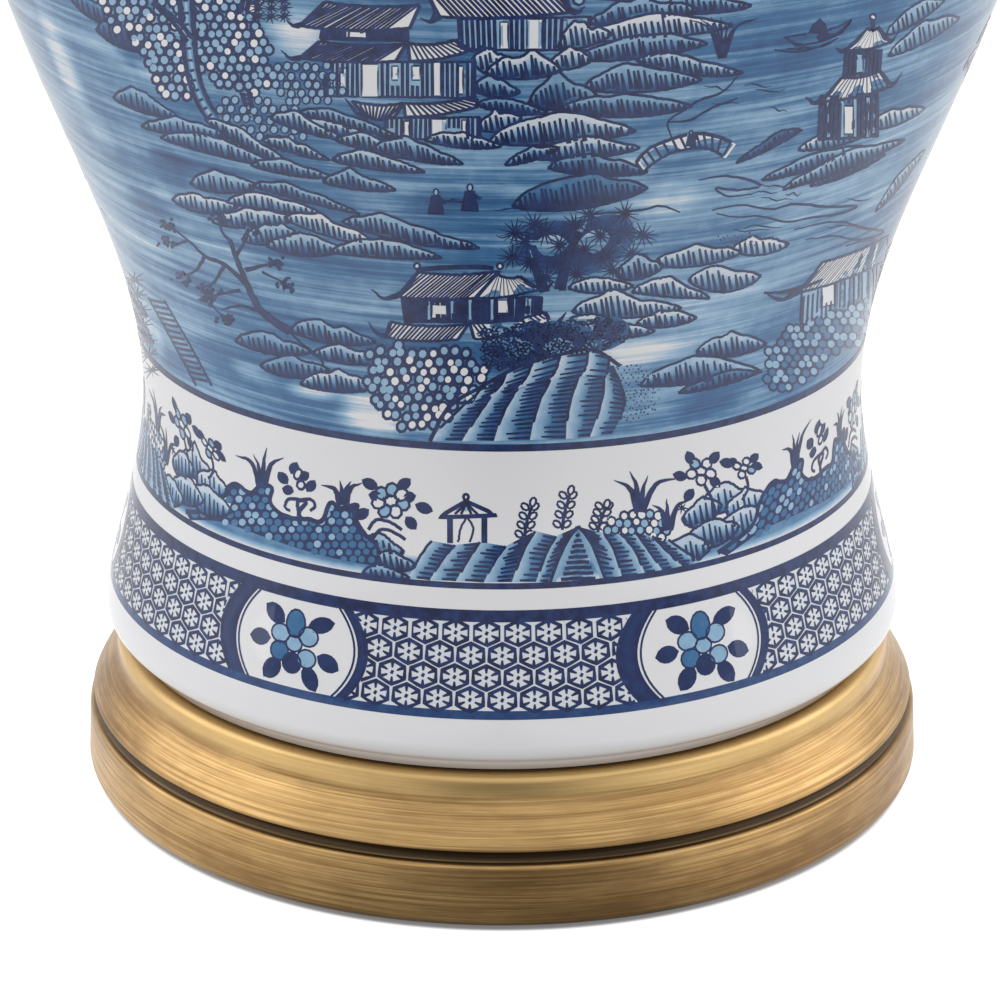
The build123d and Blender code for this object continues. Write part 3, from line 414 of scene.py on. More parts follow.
def on_wall(turn, up, lift):
    """Points in metres, some millimetres proud of the jar's wall, and the wall's normals."""
    radius, height = wall_radius(up), np.interp(up, fine_up, fine_wall[:, 1]) + FOOT
    out = np.interp(up, fine_up, slope[:, 1])
    rise = -np.interp(up, fine_up, slope[:, 0])
    across = np.stack([np.sin(turn), -np.cos(turn)], -1)
    normal = np.concatenate([across * out[..., None], rise[..., None]], -1)
    place = np.concatenate([across * radius[..., None], height[..., None]], -1)
    return (place + normal * lift) / 1000, normal


def up_of(height):
    """Way up the wall of a height above the table, in millimetres, below the shoulder."""
    return np.interp(np.asarray(height, float) - FOOT, fine_wall[:, 1], fine_up)


def seen_at(x, y):
    """Turn and way up of the wall that shows at a point of the picture."""
    x, y = np.broadcast_arrays(np.asarray(x, float), np.asarray(y, float))
    right = (x - PICTURE / 2) / PICTURE_REACH
    down = (PICTURE / 2 - y) / PICTURE_REACH
    ray = np.stack([right, math.sin(EYE_PITCH) + down * math.cos(EYE_PITCH),
                    -math.cos(EYE_PITCH) + down * math.sin(EYE_PITCH)], -1)
    eye = np.array(EYE) * 1000

    def outside(reach):
        place = eye + ray * reach[..., None]
        return np.hypot(place[..., 0], place[..., 1]) - wall_radius(up_of(place[..., 2])), place

    steps = np.linspace(780, 1010, 93)        # millimetres from the eye, to the jar's far side
    gaps = np.stack([outside(np.full(x.shape, step))[0] for step in steps])
    inside = gaps < 0
    first = np.where(inside.any(0), inside.argmax(0), gaps.argmin(0))
    far = steps[first]
    near = np.where(inside.any(0), far - (steps[1] - steps[0]), far)
    for _ in range(14):
        middle = (near + far) / 2
        hit = outside(middle)[0] < 0
        near, far = np.where(hit, near, middle), np.where(hit, middle, far)
    place = outside(far)[1]
    return np.arctan2(place[..., 0], -place[..., 1]), up_of(place[..., 2])


jar_place = np.empty(len(jar.data.vertices) * 3)
jar.data.vertices.foreach_get("co", jar_place)
jar_place = jar_place.reshape(-1, 3) * 1000
# the washes' measure of each vertex of the glaze: those of the inside lie below the wall
jar_turn = np.arctan2(jar_place[:, 0], -jar_place[:, 1])
jar_radius = np.hypot(jar_place[:, 0], jar_place[:, 1])
wall_rows = np.array(wall_points)
row_up = np.concatenate([[0], np.cumsum(np.hypot(*np.diff(wall_rows, axis=0).T))])
nearest = np.full(len(jar_place), -1)
for row, (radius, height) in enumerate(wall_rows):
    here = (abs(jar_radius - radius) < 0.002) & (abs(jar_place[:, 2] - FOOT - height) < 0.002)
    nearest[here] = row
jar_up = np.where(nearest >= 0, row_up[nearest], -100.0)
wash = np.zeros(len(jar_place))           # how much blue is in the glaze, 0 to 1
brush = np.zeros(len(jar_place))          # how much the blue is streaked by the brush


def inside(x, y, corners):
    """Whether places lie in a closed outline."""
    x, y = np.asarray(x, float)[..., None], np.asarray(y, float)[..., None]
    x0, y0 = np.asarray(corners, float).T
    x1, y1 = np.roll(x0, -1), np.roll(y0, -1)
    crosses = ((y0 > y) != (y1 > y)) & (
        x < (x1 - x0) * (y - y0) / np.where(y1 == y0, 1e-9, y1 - y0) + x0)
    return crosses.sum(-1) % 2 == 1


def within(turn, up, outline):
    """Which places of the wall lie in a closed outline of (turn, up) corners."""
    corners = np.array(outline, float)
    middle = corners[:, 0].mean()
    corners[:, 0] -= middle
    (left, low), (right, high) = corners.min(0), corners.max(0)
    found = np.zeros(turn.shape, bool)
    near = np.flatnonzero((up >= low) & (up <= high))
    ahead = beside(turn[near], middle)
    close = (ahead >= left) & (ahead <= right)
    near, ahead = near[close], ahead[close]
    if len(near):
        found[near] = inside(ahead, up[near], corners)
    return found


# ---- Print ---------------------------------------------------------------------------------
# An old pattern of tiered pavilions, round-leaved trees, rocks and water, with a border of
# blossom and rocks, a band of hexagons and cartouches with a blossom. It is engraved, printed in
# cobalt and goes round the jar twice.
class Layer:
    """Lines or flat washes, kept as corners, tones and faces until they are made a mesh."""

    def __init__(self, name, lift):
        self.name, self.lift = name, lift
        self.places, self.tones, self.faces = [], [], []
        self.corners = self.count = 0
        self.mids, self.shown = np.zeros((4096, 2)), np.zeros(4096, bool)

    def add(self, places, faces, mids, tones=1.0):
        """Adds faces, each with the middle by which it is hidden. A face has 4 corners or 3."""
        faces = np.asarray(faces, int)
        if faces.shape[1] == 3:
            faces = np.column_stack([faces, np.full(len(faces), -1 - self.corners)])
        while self.count + len(faces) > len(self.mids):
            self.mids = np.concatenate([self.mids, np.zeros_like(self.mids)])
            self.shown = np.concatenate([self.shown, np.zeros_like(self.shown)])
        here = slice(self.count, self.count + len(faces))
        self.mids[here], self.shown[here] = mids, True
        self.places.append(np.asarray(places, float))
        self.tones.append(np.broadcast_to(tones, len(places)))
        self.faces.append(faces + self.corners)
        self.corners += len(places)
        self.count += len(faces)

    def hide(self, outline):
        """Takes out what a nearer shape covers."""
        mids = self.mids[:self.count]
        self.shown[:self.count] &= ~within(mids[:, 0], mids[:, 1], outline)


ink, flat = Layer("print_lines", 0.05), Layer("print_tones", 0.03)
leaves = Layer("print_leaves", 0.04)
TONE = {"white": 0.0, "pale": 0.27, "mid": 0.56, "deep": 0.8, "dark": 0.96}
POINTS_A_MM = 4.9                   # points of the picture to a millimetre of the jar's front
chance = random.Random(7)
wobble = np.random.default_rng(7)


def hide(outline):
    for layer in (ink, flat, leaves):
        layer.hide(outline)


def line(places, width, closed=False):
    """A stroke along (turn, up) places. A list of widths, in millimetres, runs along it."""
    places = np.asarray(places, float)
    if closed:
        places = np.vstack([places, places[:1]])
    turn, up = places.T
    radius = wall_radius(up)
    way = np.concatenate([[0], np.cumsum(np.hypot(np.diff(turn) * radius[1:], np.diff(up)))])
    keep = np.concatenate([[True], np.diff(way) > 1e-6])
    turn, up, way = turn[keep], up[keep], way[keep]
    if len(way) < 2:
        return
    coarse = 3                          # millimetres between corners, at the most
    steps = np.unique(np.concatenate([way, np.linspace(0, way[-1],
                                                       int(way[-1] / coarse) + 2)]))
    turn, up = np.interp(steps, way, turn), np.interp(steps, way, up)
    radius = wall_radius(up)
    along = np.stack([np.gradient(turn, steps) * radius, np.gradient(up, steps)], -1)
    if closed:
        along[0] = along[-1] = along[0] + along[-1]
    along /= np.maximum(np.linalg.norm(along, axis=1, keepdims=True), 1e-9)
    widths = np.atleast_1d(np.asarray(width, float))
    half = np.interp(steps / steps[-1], np.linspace(0, 1, len(widths)), widths) / 2
    aside = np.stack([-along[:, 1] * half / radius, along[:, 0] * half], -1)
    spine = np.stack([turn, up], -1)
    count = len(steps)
    first = np.arange(count - 1)
    ink.add(np.vstack([spine + aside, spine - aside]),
            np.stack([first, count + first, count + first + 1, first + 1], -1),
            (spine[1:] + spine[:-1]) / 2)


def shape(outline, tone, layer=None):
    """A small flat shape of one tone, over what was drawn before it, or on a layer of its own."""
    if not layer:
        hide(outline)
    outline = np.asarray(outline, float)
    middle = outline.mean(0)
    count = len(outline)
    first = np.arange(count)
    (layer or flat).add(np.vstack([outline, middle]),
                        np.stack([first, (first + 1) % count, np.full(count, count)], -1),
                        np.tile(middle, (count, 1)), TONE[tone])


def strip(sides, tones):
    """A flat wash between lines with as many points each, its tone given at every line."""
    hide(np.vstack([sides[0], sides[-1][::-1]]))
    wide, deep = len(sides[0]), len(sides)
    places = np.vstack(sides)
    first = (np.arange(deep - 1)[:, None] * wide + np.arange(wide - 1)).ravel()
    faces = np.stack([first, first + 1, first + wide + 1, first + wide], -1)
    flat.add(places, faces, places[faces].mean(1), np.repeat(tones, wide))


def flood(outline, tone, streaks, cover=True):
    """One depth of blue in the glaze inside an outline."""
    here = within(jar_turn, jar_up, outline)
    wash[here], brush[here] = tone, streaks
    if cover:
        hide(outline)


def ring_line(height, width, tone=None):
    """A line all the way round, at a height above the table."""
    turn, up = np.linspace(0, ROUND, 241), float(up_of(height))
    spine = np.stack([turn, np.full(241, up)], -1)
    first = np.arange(240)
    places = np.vstack([spine + (0, width / 2), spine - (0, width / 2)])
    faces = np.stack([first, 241 + first, 242 + first, 1 + first], -1)
    if tone:
        flat.add(places, faces, spine[:-1], TONE[tone])
    else:
        ink.add(places, faces, spine[:-1])


# The motifs are laid out as points of the picture, and easel says where the next ones go: which
# side of the jar faces, and how far the drawing is moved and scaled on the picture.
GRID = 5                            # points of the picture between the places worked out
grid_x, grid_y = np.arange(40, 965, GRID), np.arange(-700, 765, GRID)
grid_turn, grid_up = seen_at(grid_x[None, :], grid_y[:, None])
easel = {"facing": 0.0, "x": 0.0, "y": 0.0, "size": 1.0}


def on_jar(points):
    """(turn, up) of points of the picture."""
    x, y = np.asarray(points, float).T
    column = (x * easel["size"] + easel["x"] - grid_x[0]) / GRID
    row = (y * easel["size"] + easel["y"] - grid_y[0]) / GRID
    column = np.clip(column, 0, len(grid_x) - 1.001)
    row = np.clip(row, 0, len(grid_y) - 1.001)
    c, r = column.astype(int), row.astype(int)
    right, down = column - c, row - r

    def between(grid):
        return ((grid[r, c] * (1 - right) + grid[r, c + 1] * right) * (1 - down)
                + (grid[r + 1, c] * (1 - right) + grid[r + 1, c + 1] * right) * down)
    return np.stack([between(grid_turn) + easel["facing"], between(grid_up)], -1)


def smooth(points, closed=False, per=5):
    """A flowing line through points."""
    p = np.asarray(points, float)
    p = (np.vstack([p[-1], p, p[0], p[1]]) if closed
         else np.vstack([2 * p[0] - p[1], p, 2 * p[-1] - p[-2]]))
    t = np.linspace(0, 1, per, endpoint=False)[:, None]
    runs = [(2 * b + (c - a) * t + (2 * a - 5 * b + 4 * c - d) * t**2
             + (3 * b - a - 3 * c + d) * t**3) / 2 for a, b, c, d in zip(p, p[1:], p[2:], p[3:])]
    return np.vstack(runs if closed else runs + [p[-2:-1]])


def stroke(points, width=0.5, per=5):
    """A flowing stroke through points of the picture, a little unsteady."""
    points = np.asarray(points, float)
    if len(points) > 2:
        points = smooth(points, per=per)
    points = points + wobble.normal(0, 0.22, points.shape)
    line(on_jar(points), np.asarray(width) * easel["size"])


def placed(across, up, x, y, tilt):
    """An outline round (0, 0), tilted and moved to (x, y)."""
    c, s = math.cos(tilt), math.sin(tilt)
    return np.stack([x + across * c - up * s, y + across * s + up * c], -1)


def oval(x, y, wide, tall, tilt=0.0, corners=8):
    turns = np.linspace(0, ROUND, corners, endpoint=False)
    return placed(np.cos(turns) * wide, np.sin(turns) * tall, x, y, tilt)


def pointed(x, y, long, wide, tilt, corners=6, fullness=0.7):
    """The outline of a pointed leaf, by its middle."""
    t = np.linspace(0, 1, corners)
    side = np.stack([(t - 0.5) * long, np.sin(t * math.pi)**fullness * wide], -1)
    return placed(*np.vstack([side, side[::-1][1:-1] * (1, -1)]).T, x, y, tilt)


def edged(points, tone, ring):
    """A flat shape with an inked edge, from points of the picture."""
    outline = on_jar(points)
    shape(outline, tone)
    line(outline, ring, closed=True)


def leaf(x, y, wide, tall, tilt=0.0, tone="white", ring=0.45):
    """A round leaf, pebble or petal."""
    edged(oval(x, y, wide, tall, tilt), tone, ring * easel["size"])


def packed(outline, pitch, loose=0.16):
    """Places for round things that fill an outline, in rows, a little loose."""
    low, high = np.min(outline, 0), np.max(outline, 0)
    found = []
    for row, y in enumerate(np.arange(low[1], high[1], pitch * 0.86)):
        for x in np.arange(low[0] + row % 2 * pitch / 2, high[0], pitch):
            found.append((x + chance.uniform(-loose, loose) * pitch,
                          y + chance.uniform(-loose, loose) * pitch))
    found = np.array(found)
    return found[inside(found[:, 0], found[:, 1], outline)]


def foliage(outline, pitch, tones, size=0.4, loose=0.14):
    """A mass of round leaves or pebbles, pale on dark, whose edge is made by the leaves."""
    spots = packed(outline, pitch, loose)
    tilt = chance.uniform(-0.4, 0.4)
    around, tall = pitch * 0.5 + 1.3, 1.1
    grounds = [on_jar(oval(x, y, around, around * tall, tilt)) for x, y in spots]
    for ground in grounds:
        hide(ground)
    for ground in grounds:
        shape(ground, "dark", flat)
    for x, y in spots:
        wide = pitch * size * chance.uniform(0.86, 1.12)
        shape(on_jar(oval(x, y, wide, wide * tall, tilt + chance.uniform(-0.3, 0.3))),
              chance.choice(tones), leaves)


def spot_on(side, here):
    """The point at a place along a line, which is counted in the line's own points."""
    return np.array([np.interp(here, range(len(side)), side[:, i]) for i in (0, 1)])


def rock(x0, y0, x1, y1, rise, peak, crown, foot, drop):
    """A long low rock from (x0, y0) to (x1, y1): pale along its crown, dark at its foot, and
    hatched between with strokes that swell downwards. It rises most at its peak, 0 to 1 along
    it, and drops below its ends."""
    t = np.linspace(0, 1, 15)
    up = np.where(t < peak, (t / peak)**0.55, ((1 - t) / (1 - peak))**0.75)
    ripple = np.interp(t, np.linspace(0, 1, 9), wobble.normal(0, 0.11, 9))
    chord = np.stack([x0 + (x1 - x0) * t, y0 + (y1 - y0) * t], -1)
    top = smooth(chord - np.stack([0 * t, rise * (up + ripple * np.sin(t * math.pi))], -1), per=3)
    base = smooth(chord + np.stack([0 * t, drop * np.sin(t * math.pi)**0.7], -1), per=3)
    depths = (0, 0.22, 0.45, 0.7, 0.88, 1)
    strip([on_jar(top * (1 - d) + base * d) for d in depths],
          [crown * 0.7 + (foot - crown * 0.7) * min(max((d - 0.2) / 0.8, 0), 1)**1.15
           for d in depths])
    every, tilt = 5.4, 0.12             # how far apart the strokes are and how much they lean
    count = max(3, int(math.hypot(x1 - x0, y1 - y0) / every))
    for k in range(count):
        at = (k + 0.5 + chance.uniform(-0.18, 0.18)) / count
        here = at * (len(top) - 1)
        head = spot_on(top, here)
        deep = spot_on(base, here) - head
        if deep[1] < 2.5:
            continue
        start, stop = chance.uniform(0.14, 0.34), chance.uniform(0.86, 1.0)
        shift = np.array([deep[1] * tilt, 0])
        stroke([head + deep * start - shift * 0.5, head + deep * stop + shift * 0.5],
               (0.5, 0.75, 1.1 if foot > 0.7 else 0.8))
    stroke(top[::3], 0.66, per=3)
    stroke(base[::3], 0.66, per=3)


def box(x0, y0, x1, y1):
    """The corners of an upright oblong, clockwise from top left."""
    return [(x0, y0), (x1, y0), (x1, y1), (x0, y1)]


def panel(quad, sag=0.0):
    """A four-cornered plane by its corners, clockwise from top left, its rails sagging."""
    a, b, c, d = np.asarray(quad, float)

    def at(u, v):
        point = (a * (1 - u) + b * u) * (1 - v) + (d * (1 - u) + c * u) * v
        return point + (0, sag * 4 * u * (1 - u))
    return at


def edge(at, v, count=7):
    """Points across a panel, at a part of its height from the top."""
    return np.array([at(u, v) for u in np.linspace(0, 1, count)])


def bars(quad, count, fill=0.5, sag=0.0, ground="pale", frame=0.6, skew=0.0):
    """A wall or a roof: dark bars on a light ground, with a frame."""
    at = panel(quad, sag)
    columns = max(3, int(math.dist(quad[0], quad[1]) / 8))
    strip([on_jar(edge(at, v, count=columns)) for v in (0, 0.35, 0.7, 1)],
          np.full(4, TONE[ground]))
    wide = math.dist(quad[0], quad[1]) / count / POINTS_A_MM
    for k in range(count):
        u = (k + 0.5) / count
        low = min(max(u - skew, 0), 1)
        stroke([at(u, 0), at(low, 1)], (wide * fill, wide * fill * 1.1))
    for v in (0, 1):
        stroke(edge(at, v), frame)
    stroke([at(0, 0), at(0, 1)], frame)
    stroke([at(1, 0), at(1, 1)], frame)


def opening(quad, tone="white"):
    """A door or window, left light."""
    at = panel(quad)
    edged(np.vstack([edge(at, 0, count=4), edge(at, 1, count=4)[::-1]]), tone, 0.35)


def openings(*boxes, tone="white"):
    """Upright doors and windows, each by two opposite corners."""
    for corners in boxes:
        opening(box(*corners), tone)


def roof(quad, count, tip=None, other_tip=None, skew=0.12):
    """A tiled roof: slanted bars between ridge and eaves, whose ends sweep up to a point."""
    bars(quad, count, sag=3.0, ground="white", frame=0.75, skew=skew)
    a, b, c, d = np.asarray(quad, float)
    for corner, top, end in ((d, a, tip), (c, b, other_tip)):
        if end is not None:
            end = np.asarray(end, float)
            middle = (corner + end) / 2 + (0, abs(end[0] - corner[0]) * 0.22)
            stroke([corner, middle, end], (1.3, 0.9, 0.25))
            stroke([top, (top * 0.35 + corner * 0.65) + (0, 2), middle], (0.7, 0.9, 0.5))


def grass(x, y, blades, tall, spread, width=1.7):
    """A tuft of curved blades."""
    for k in range(blades):
        out = (k + 0.5) / blades * 2 - 1 + chance.uniform(-0.15, 0.15)
        reach = tall * chance.uniform(0.95, 1.3)
        stroke([(x + out * 3, y), (x + out * reach * spread * 0.4, y - reach * 0.6),
                (x + out * reach * spread, y - reach * (1 - 0.3 * abs(out)))],
               (width, width * 0.75, 0.15))


def dark_leaves(wide, *rows):
    """Pointed leaves filled with ink, each by its middle, its length and its tilt."""
    for x, y, long, tilt in rows:
        edged(pointed(x, y, long, wide, tilt), "dark", 0.4)


def blossom(x, y, size, petals, ring):
    """Petals round an oval eye."""
    for k in range(petals):
        turn = 0.3 + k * ROUND / petals
        leaf(x + math.cos(turn) * size, y + math.sin(turn) * size * 0.9, size * 0.55, size * 0.5,
             turn, chance.choice(("white", "pale")), ring)
    leaf(x, y, size * 0.55, size * 0.45, 0, "white", ring)


def folds(ridges, crown=0.12, foot=0.7, hatch=0.42):
    """Ground in folds that run down between ridges: pale on one side and hatched on the other."""
    every = 4.6                         # how far apart the hatching is
    ridges = [smooth(ridge) for ridge in ridges]
    count = max(map(len, ridges))
    ridges = [spot_on(ridge, np.linspace(0, len(ridge) - 1, count)).T for ridge in ridges]
    for left, right in zip(ridges, ridges[1:]):
        strip([on_jar(left * (1 - d) + right * d) for d in (0, 0.3, 0.6, 1)],
              [crown, (crown * 2 + foot) / 3, foot * 0.85, foot])
        length = np.hypot(*np.diff(right, axis=0).T).sum()
        for t in np.linspace(0.06, 0.97, max(3, int(length / every))):
            a, b = [spot_on(side, t * (count - 1)) for side in (left, right)]
            head = hatch + chance.uniform(-0.14, 0.14)
            stroke([a * (1 - head) + b * head, b * 0.97 + a * 0.03], (0.45, 0.8))
    for ridge in ridges:
        stroke(ridge[::4], 0.62)


def pool(outline, depths, tones):
    """A flat wash whose tone changes from its outline, at depth 0, to its middle, at 1."""
    strip([on_jar(outline * (1 - d) + outline.mean(0) * d) for d in depths], tones)


def move(facing, source=(0, 0), target=(0, 0), size=1.0):
    """Sets the easel: what is laid out at source is drawn at target, on the side that faces."""
    easel.update(facing=facing, size=size, x=target[0] - source[0] * size,
                 y=target[1] - source[1] * size)


def rocks(*rows):
    """Rocks from back to front, so that each hides what lies behind it."""
    for row in sorted(rows, key=lambda row: max(row[1], row[3]) + row[8]):
        rock(*row)


def trunk(points, wide, ends=0.6):
    """A speckled stem with thick edges."""
    spine = smooth(points)
    along = np.gradient(spine, axis=0)
    along /= np.linalg.norm(along, axis=1, keepdims=True)
    half = np.linspace(1, ends, len(spine))[:, None] * wide / 2
    aside = np.stack([-along[:, 1], along[:, 0]], -1) * half
    strip([on_jar(spine + aside), on_jar(spine), on_jar(spine - aside)], (0.8, 0.2, 0.8))
    for k in range(1, len(spine) - 1, 2):
        stroke([spine[k] + aside[k] * 0.5, spine[k] - aside[k] * 0.3], 0.6)
    for side in (spine + aside, spine - aside):
        stroke(side[::4], (1.5, 1.1))


def burst(x, y, reach, needles=13, width=0.55):
    """A tuft of pine needles."""
    for k in range(needles):
        turn = k * ROUND / needles + chance.uniform(-0.1, 0.1)
        long = reach * chance.uniform(0.75, 1.05)
        stroke([(x, y), (x + math.cos(turn) * long, y + math.sin(turn) * long * 0.85)],
               (width, 0.12))


def ripples(x0, x1, y0, y1, count):
    """Thin broken lines on water."""
    for _ in range(count):
        x, y = chance.uniform(x0, x1), chance.uniform(y0, y1)
        long = chance.uniform(14, 40)
        stroke([(x + long * t, y + chance.uniform(-2.2, 2.2)) for t in (0, .25, .5, .75, 1)],
               (0.12, 0.4, 0.12))


def tuft(x, y, reach, count):
    """A few small dark leaves at a twig's end."""
    for _ in range(count):
        turn = chance.uniform(0, ROUND)
        away = reach * chance.uniform(0.2, 1)
        dark_leaves(1.1, (x + math.cos(turn) * away, y + math.sin(turn) * away, 4.2, turn))


def standing(x, y, tall):
    """A small robed figure."""
    robe = [(-0.16, -0.72), (0.14, -0.72), (0.26, -0.2), (0.3, 0), (-0.3, 0), (-0.24, -0.3)]
    edged([(x + tall * across, y + tall * down) for across, down in robe], "dark", 0.4)
    stroke([(x + tall * 0.1, y - tall * 0.6), (x + tall * 0.38, y - tall * 0.42)], 0.9)
    leaf(x, y - tall * 0.84, tall * 0.1, tall * 0.13, 0, "pale", 0.4)


def round_tree():
    """The old tree on the left: a speckled stem that forks, under masses of round leaves."""
    foliage([(140, -40), (100, -30), (98, 10), (130, 45), (150, 75), (165, 95), (195, 105),
             (208, 60), (190, 20), (178, -30)], 9.8, ("pale", "pale", "white"), 0.35, loose=0.22)
    foliage([(195, 25), (200, -40), (250, -42), (262, 0), (258, 20), (268, 45), (277, 65),
             (268, 90), (242, 97), (218, 85), (200, 60)], 9.8, ("pale", "pale", "white"), 0.35,
            loose=0.22)
    trunk([(185, -44), (186, 0), (188, 30), (191, 60), (196, 85), (206, 108), (218, 124)], 13, .8)
    trunk([(252, -40), (246, 0), (243, 18)], 8)
    trunk([(190, 40), (176, 22), (160, 8), (140, -8)], 6, 0.3)
    trunk([(246, 92), (248, 104), (252, 120)], 7)
    for outline, pitch in (([(214, 100), (300, 100), (306, 150), (262, 160), (222, 140)], 11),
                           ([(275, 58), (330, 62), (346, 98), (300, 104), (272, 90)], 10)):
        for x, y in packed(outline, pitch):
            leaf(x, y, 4.0, 4.4, 0, "pale", 0.42)
    for k in range(9):
        burst(258 + k % 3 * 13, 0 + k // 3 * 8, 9, 9, 0.6)


def great_pavilion():
    """Halls in tiers, with tiled roofs that sweep up at their corners."""
    roof([(352, -62), (470, -62), (486, -44), (330, -44)], 26, (312, -50), (500, -52))
    bars(box(340, -42, 472, -22), 24)
    openings((372, -38, 388, -24), (424, -38, 438, -24))
    roof([(335, -20), (505, -22), (520, -8), (318, -4)], 30, (300, -10), (540, -14))
    roof([(425, -10), (560, -12), (572, 12), (440, 17)], 24, (420, 18), (585, 6), skew=-0.08)
    bars([(458, 19), (592, 17), (590, 50), (460, 50)], 24, 0.66)
    openings((527, 19, 542, 49), (500, 22, 508, 49), (562, 20, 567, 48))
    roof([(325, 2), (420, 5), (410, 28), (300, 26)], 22, (286, 19), skew=0.2)
    bars([(322, 29), (408, 31), (408, 41), (320, 39)], 14, ground="dark")
    opening([(346, 31), (366, 32), (366, 38), (346, 37)])
    roof([(408, 43), (455, 40), (470, 50), (410, 61)], 11, None, (484, 44), skew=-0.1)
    roof([(320, 41), (406, 44), (396, 61), (300, 58)], 20, (281, 50), skew=0.2)
    bars([(325, 62), (475, 62), (475, 98), (325, 96)], 30, 0.66)
    openings((362, 64, 378, 97), (433, 62, 441, 96), (392, 66, 398, 80), (412, 66, 420, 80),
             (340, 68, 347, 92), (458, 66, 463, 94))
    roof([(404, 103), (470, 97), (487, 104), (405, 117)], 13, None, (507, 99), skew=-0.1)
    roof([(352, 101), (404, 103), (394, 117), (368, 117)], 11, (345, 98), skew=0.2)
    bars([(385, 118), (480, 117), (480, 139), (385, 139)], 20, 0.66)
    openings((431, 119, 446, 135), (404, 121, 409, 137), (462, 120, 466, 136))


def small_pavilion():
    """A hall by the water, with a ridge, a gable and a railed terrace."""
    bars([(402, 297), (542, 297), (540, 322), (405, 322)], 26, 0.9, ground="dark")
    for x in (427, 450, 468, 490, 512, 528):
        openings((x, 298, x + 4, 320), tone="pale")
    openings((432, 302, 448, 318), (497, 300, 508, 313))
    roof([(497, 274), (520, 276), (540, 289), (476, 298)], 12, None, (554, 281), skew=-0.15)
    roof([(418, 272), (500, 271), (474, 298), (398, 296)], 20, (371, 289), skew=0.1)
    stroke([(416, 270), (460, 267), (502, 268)], 1.3)
    for x in (417, 500):
        leaf(x, 266, 3, 3, 0, "white", 0.6)
    roof([(390, 322), (468, 324), (458, 339), (386, 337)], 18, (368, 322), skew=0.1)
    roof([(470, 323), (545, 312), (553, 324), (474, 339)], 16, None, (566, 312), skew=-0.1)


def pagoda():
    """A tower of two storeys by the water, its roofs ribbed from the top."""
    bars([(820, 96), (878, 92), (878, 136), (818, 140)], 13, 0.9, ground="dark")
    for x in (826, 840, 853, 866):
        opening([(x, 97), (x + 4, 97), (x + 4, 137), (x, 138)], "pale")
    openings((844, 106, 853, 134))
    roof([(842, 77), (880, 71), (892, 86), (820, 102)], 13, (806, 97), (902, 72), skew=0)
    bars([(845, 52), (882, 50), (880, 72), (843, 76)], 9, 0.9, ground="dark")
    opening([(856, 54), (863, 54), (863, 72), (856, 73)], "pale")
    roof([(868, 28), (878, 27), (890, 42), (846, 50)], 9, (836, 48), (897, 34), skew=0)
    stroke([(873, 30), (873, 10)], (1.4, 0.5))
    leaf(873, 17, 3, 3, 0, "white", 0.6)


def boat():
    """A boat with a domed cabin, and the ripples it leaves."""
    edged([(784, 37), (796, 46), (824, 41), (842, 33), (852, 19), (838, 27), (815, 33)],
          "dark", 0.5)
    shape(on_jar([(808, 34), (812, 25), (820, 18), (826, 24), (828, 31)]), "dark")
    for k in range(3):
        stroke([(775 + k * 12, 50 - k), (800 + k * 12, 52 - k * 3),
                (828 + k * 5, 44 - k * 3)], 0.4)


def bridge():
    """A low bridge of planks on hooped timbers."""
    outer = smooth([(636, 162), (650, 148), (672, 139), (692, 134), (712, 135), (736, 144)])
    inner = smooth([(643, 172), (658, 160), (678, 151), (698, 148), (712, 150), (726, 158)])
    shape(on_jar(np.vstack([outer, inner[::-1]])), "white")
    stroke(outer[::3], 0.9)
    stroke(inner[::3], 0.7)
    for k in range(0, len(outer), 2):
        stroke([outer[k], inner[k]], 0.55)
    standing(691, 146, 16)


def round_hut():
    """A thatched house by the right bank, with a mass of small leaves before it."""
    bars([(802, 288), (884, 258), (884, 306), (800, 324)], 18, 0.66)
    opening([(822, 286), (834, 283), (834, 304), (822, 307)])
    opening([(862, 272), (867, 270), (867, 298), (862, 300)], "pale")
    roof([(822, 262), (888, 236), (884, 262), (798, 293)], 22, (764, 292), skew=0.15)
    stroke([(764, 293), (790, 291), (822, 280)], (0.5, 1.4, 0.9))
    foliage([(785, 330), (850, 306), (884, 300), (882, 330), (855, 345), (830, 358), (800, 386),
             (764, 392), (768, 350)], 8.4, ("pale", "mid"))


def pine_wood():
    """Pines on a headland: dark masses with needles that stand out of them."""
    wood = smooth([(512, 238), (540, 222), (580, 220), (616, 214), (636, 232), (618, 260),
                   (590, 274), (550, 274), (517, 262)], True, 3)
    pool(wood, (0, 0.35, 1), (0.7, 0.86, 0.9))
    for x, y in ((515, 232), (525, 242), (545, 232), (560, 245), (512, 257), (530, 262),
                 (575, 225), (590, 215), (600, 235), (585, 250), (605, 257), (612, 270),
                 (625, 214), (643, 235), (624, 232), (560, 264), (577, 274), (534, 224),
                 (632, 254), (546, 278)):
        burst(x, y, 17)
    trunk([(560, 290), (566, 262), (575, 240), (588, 220)], 5, 0.4)
    trunk([(545, 292), (536, 270), (530, 250)], 4, 0.4)


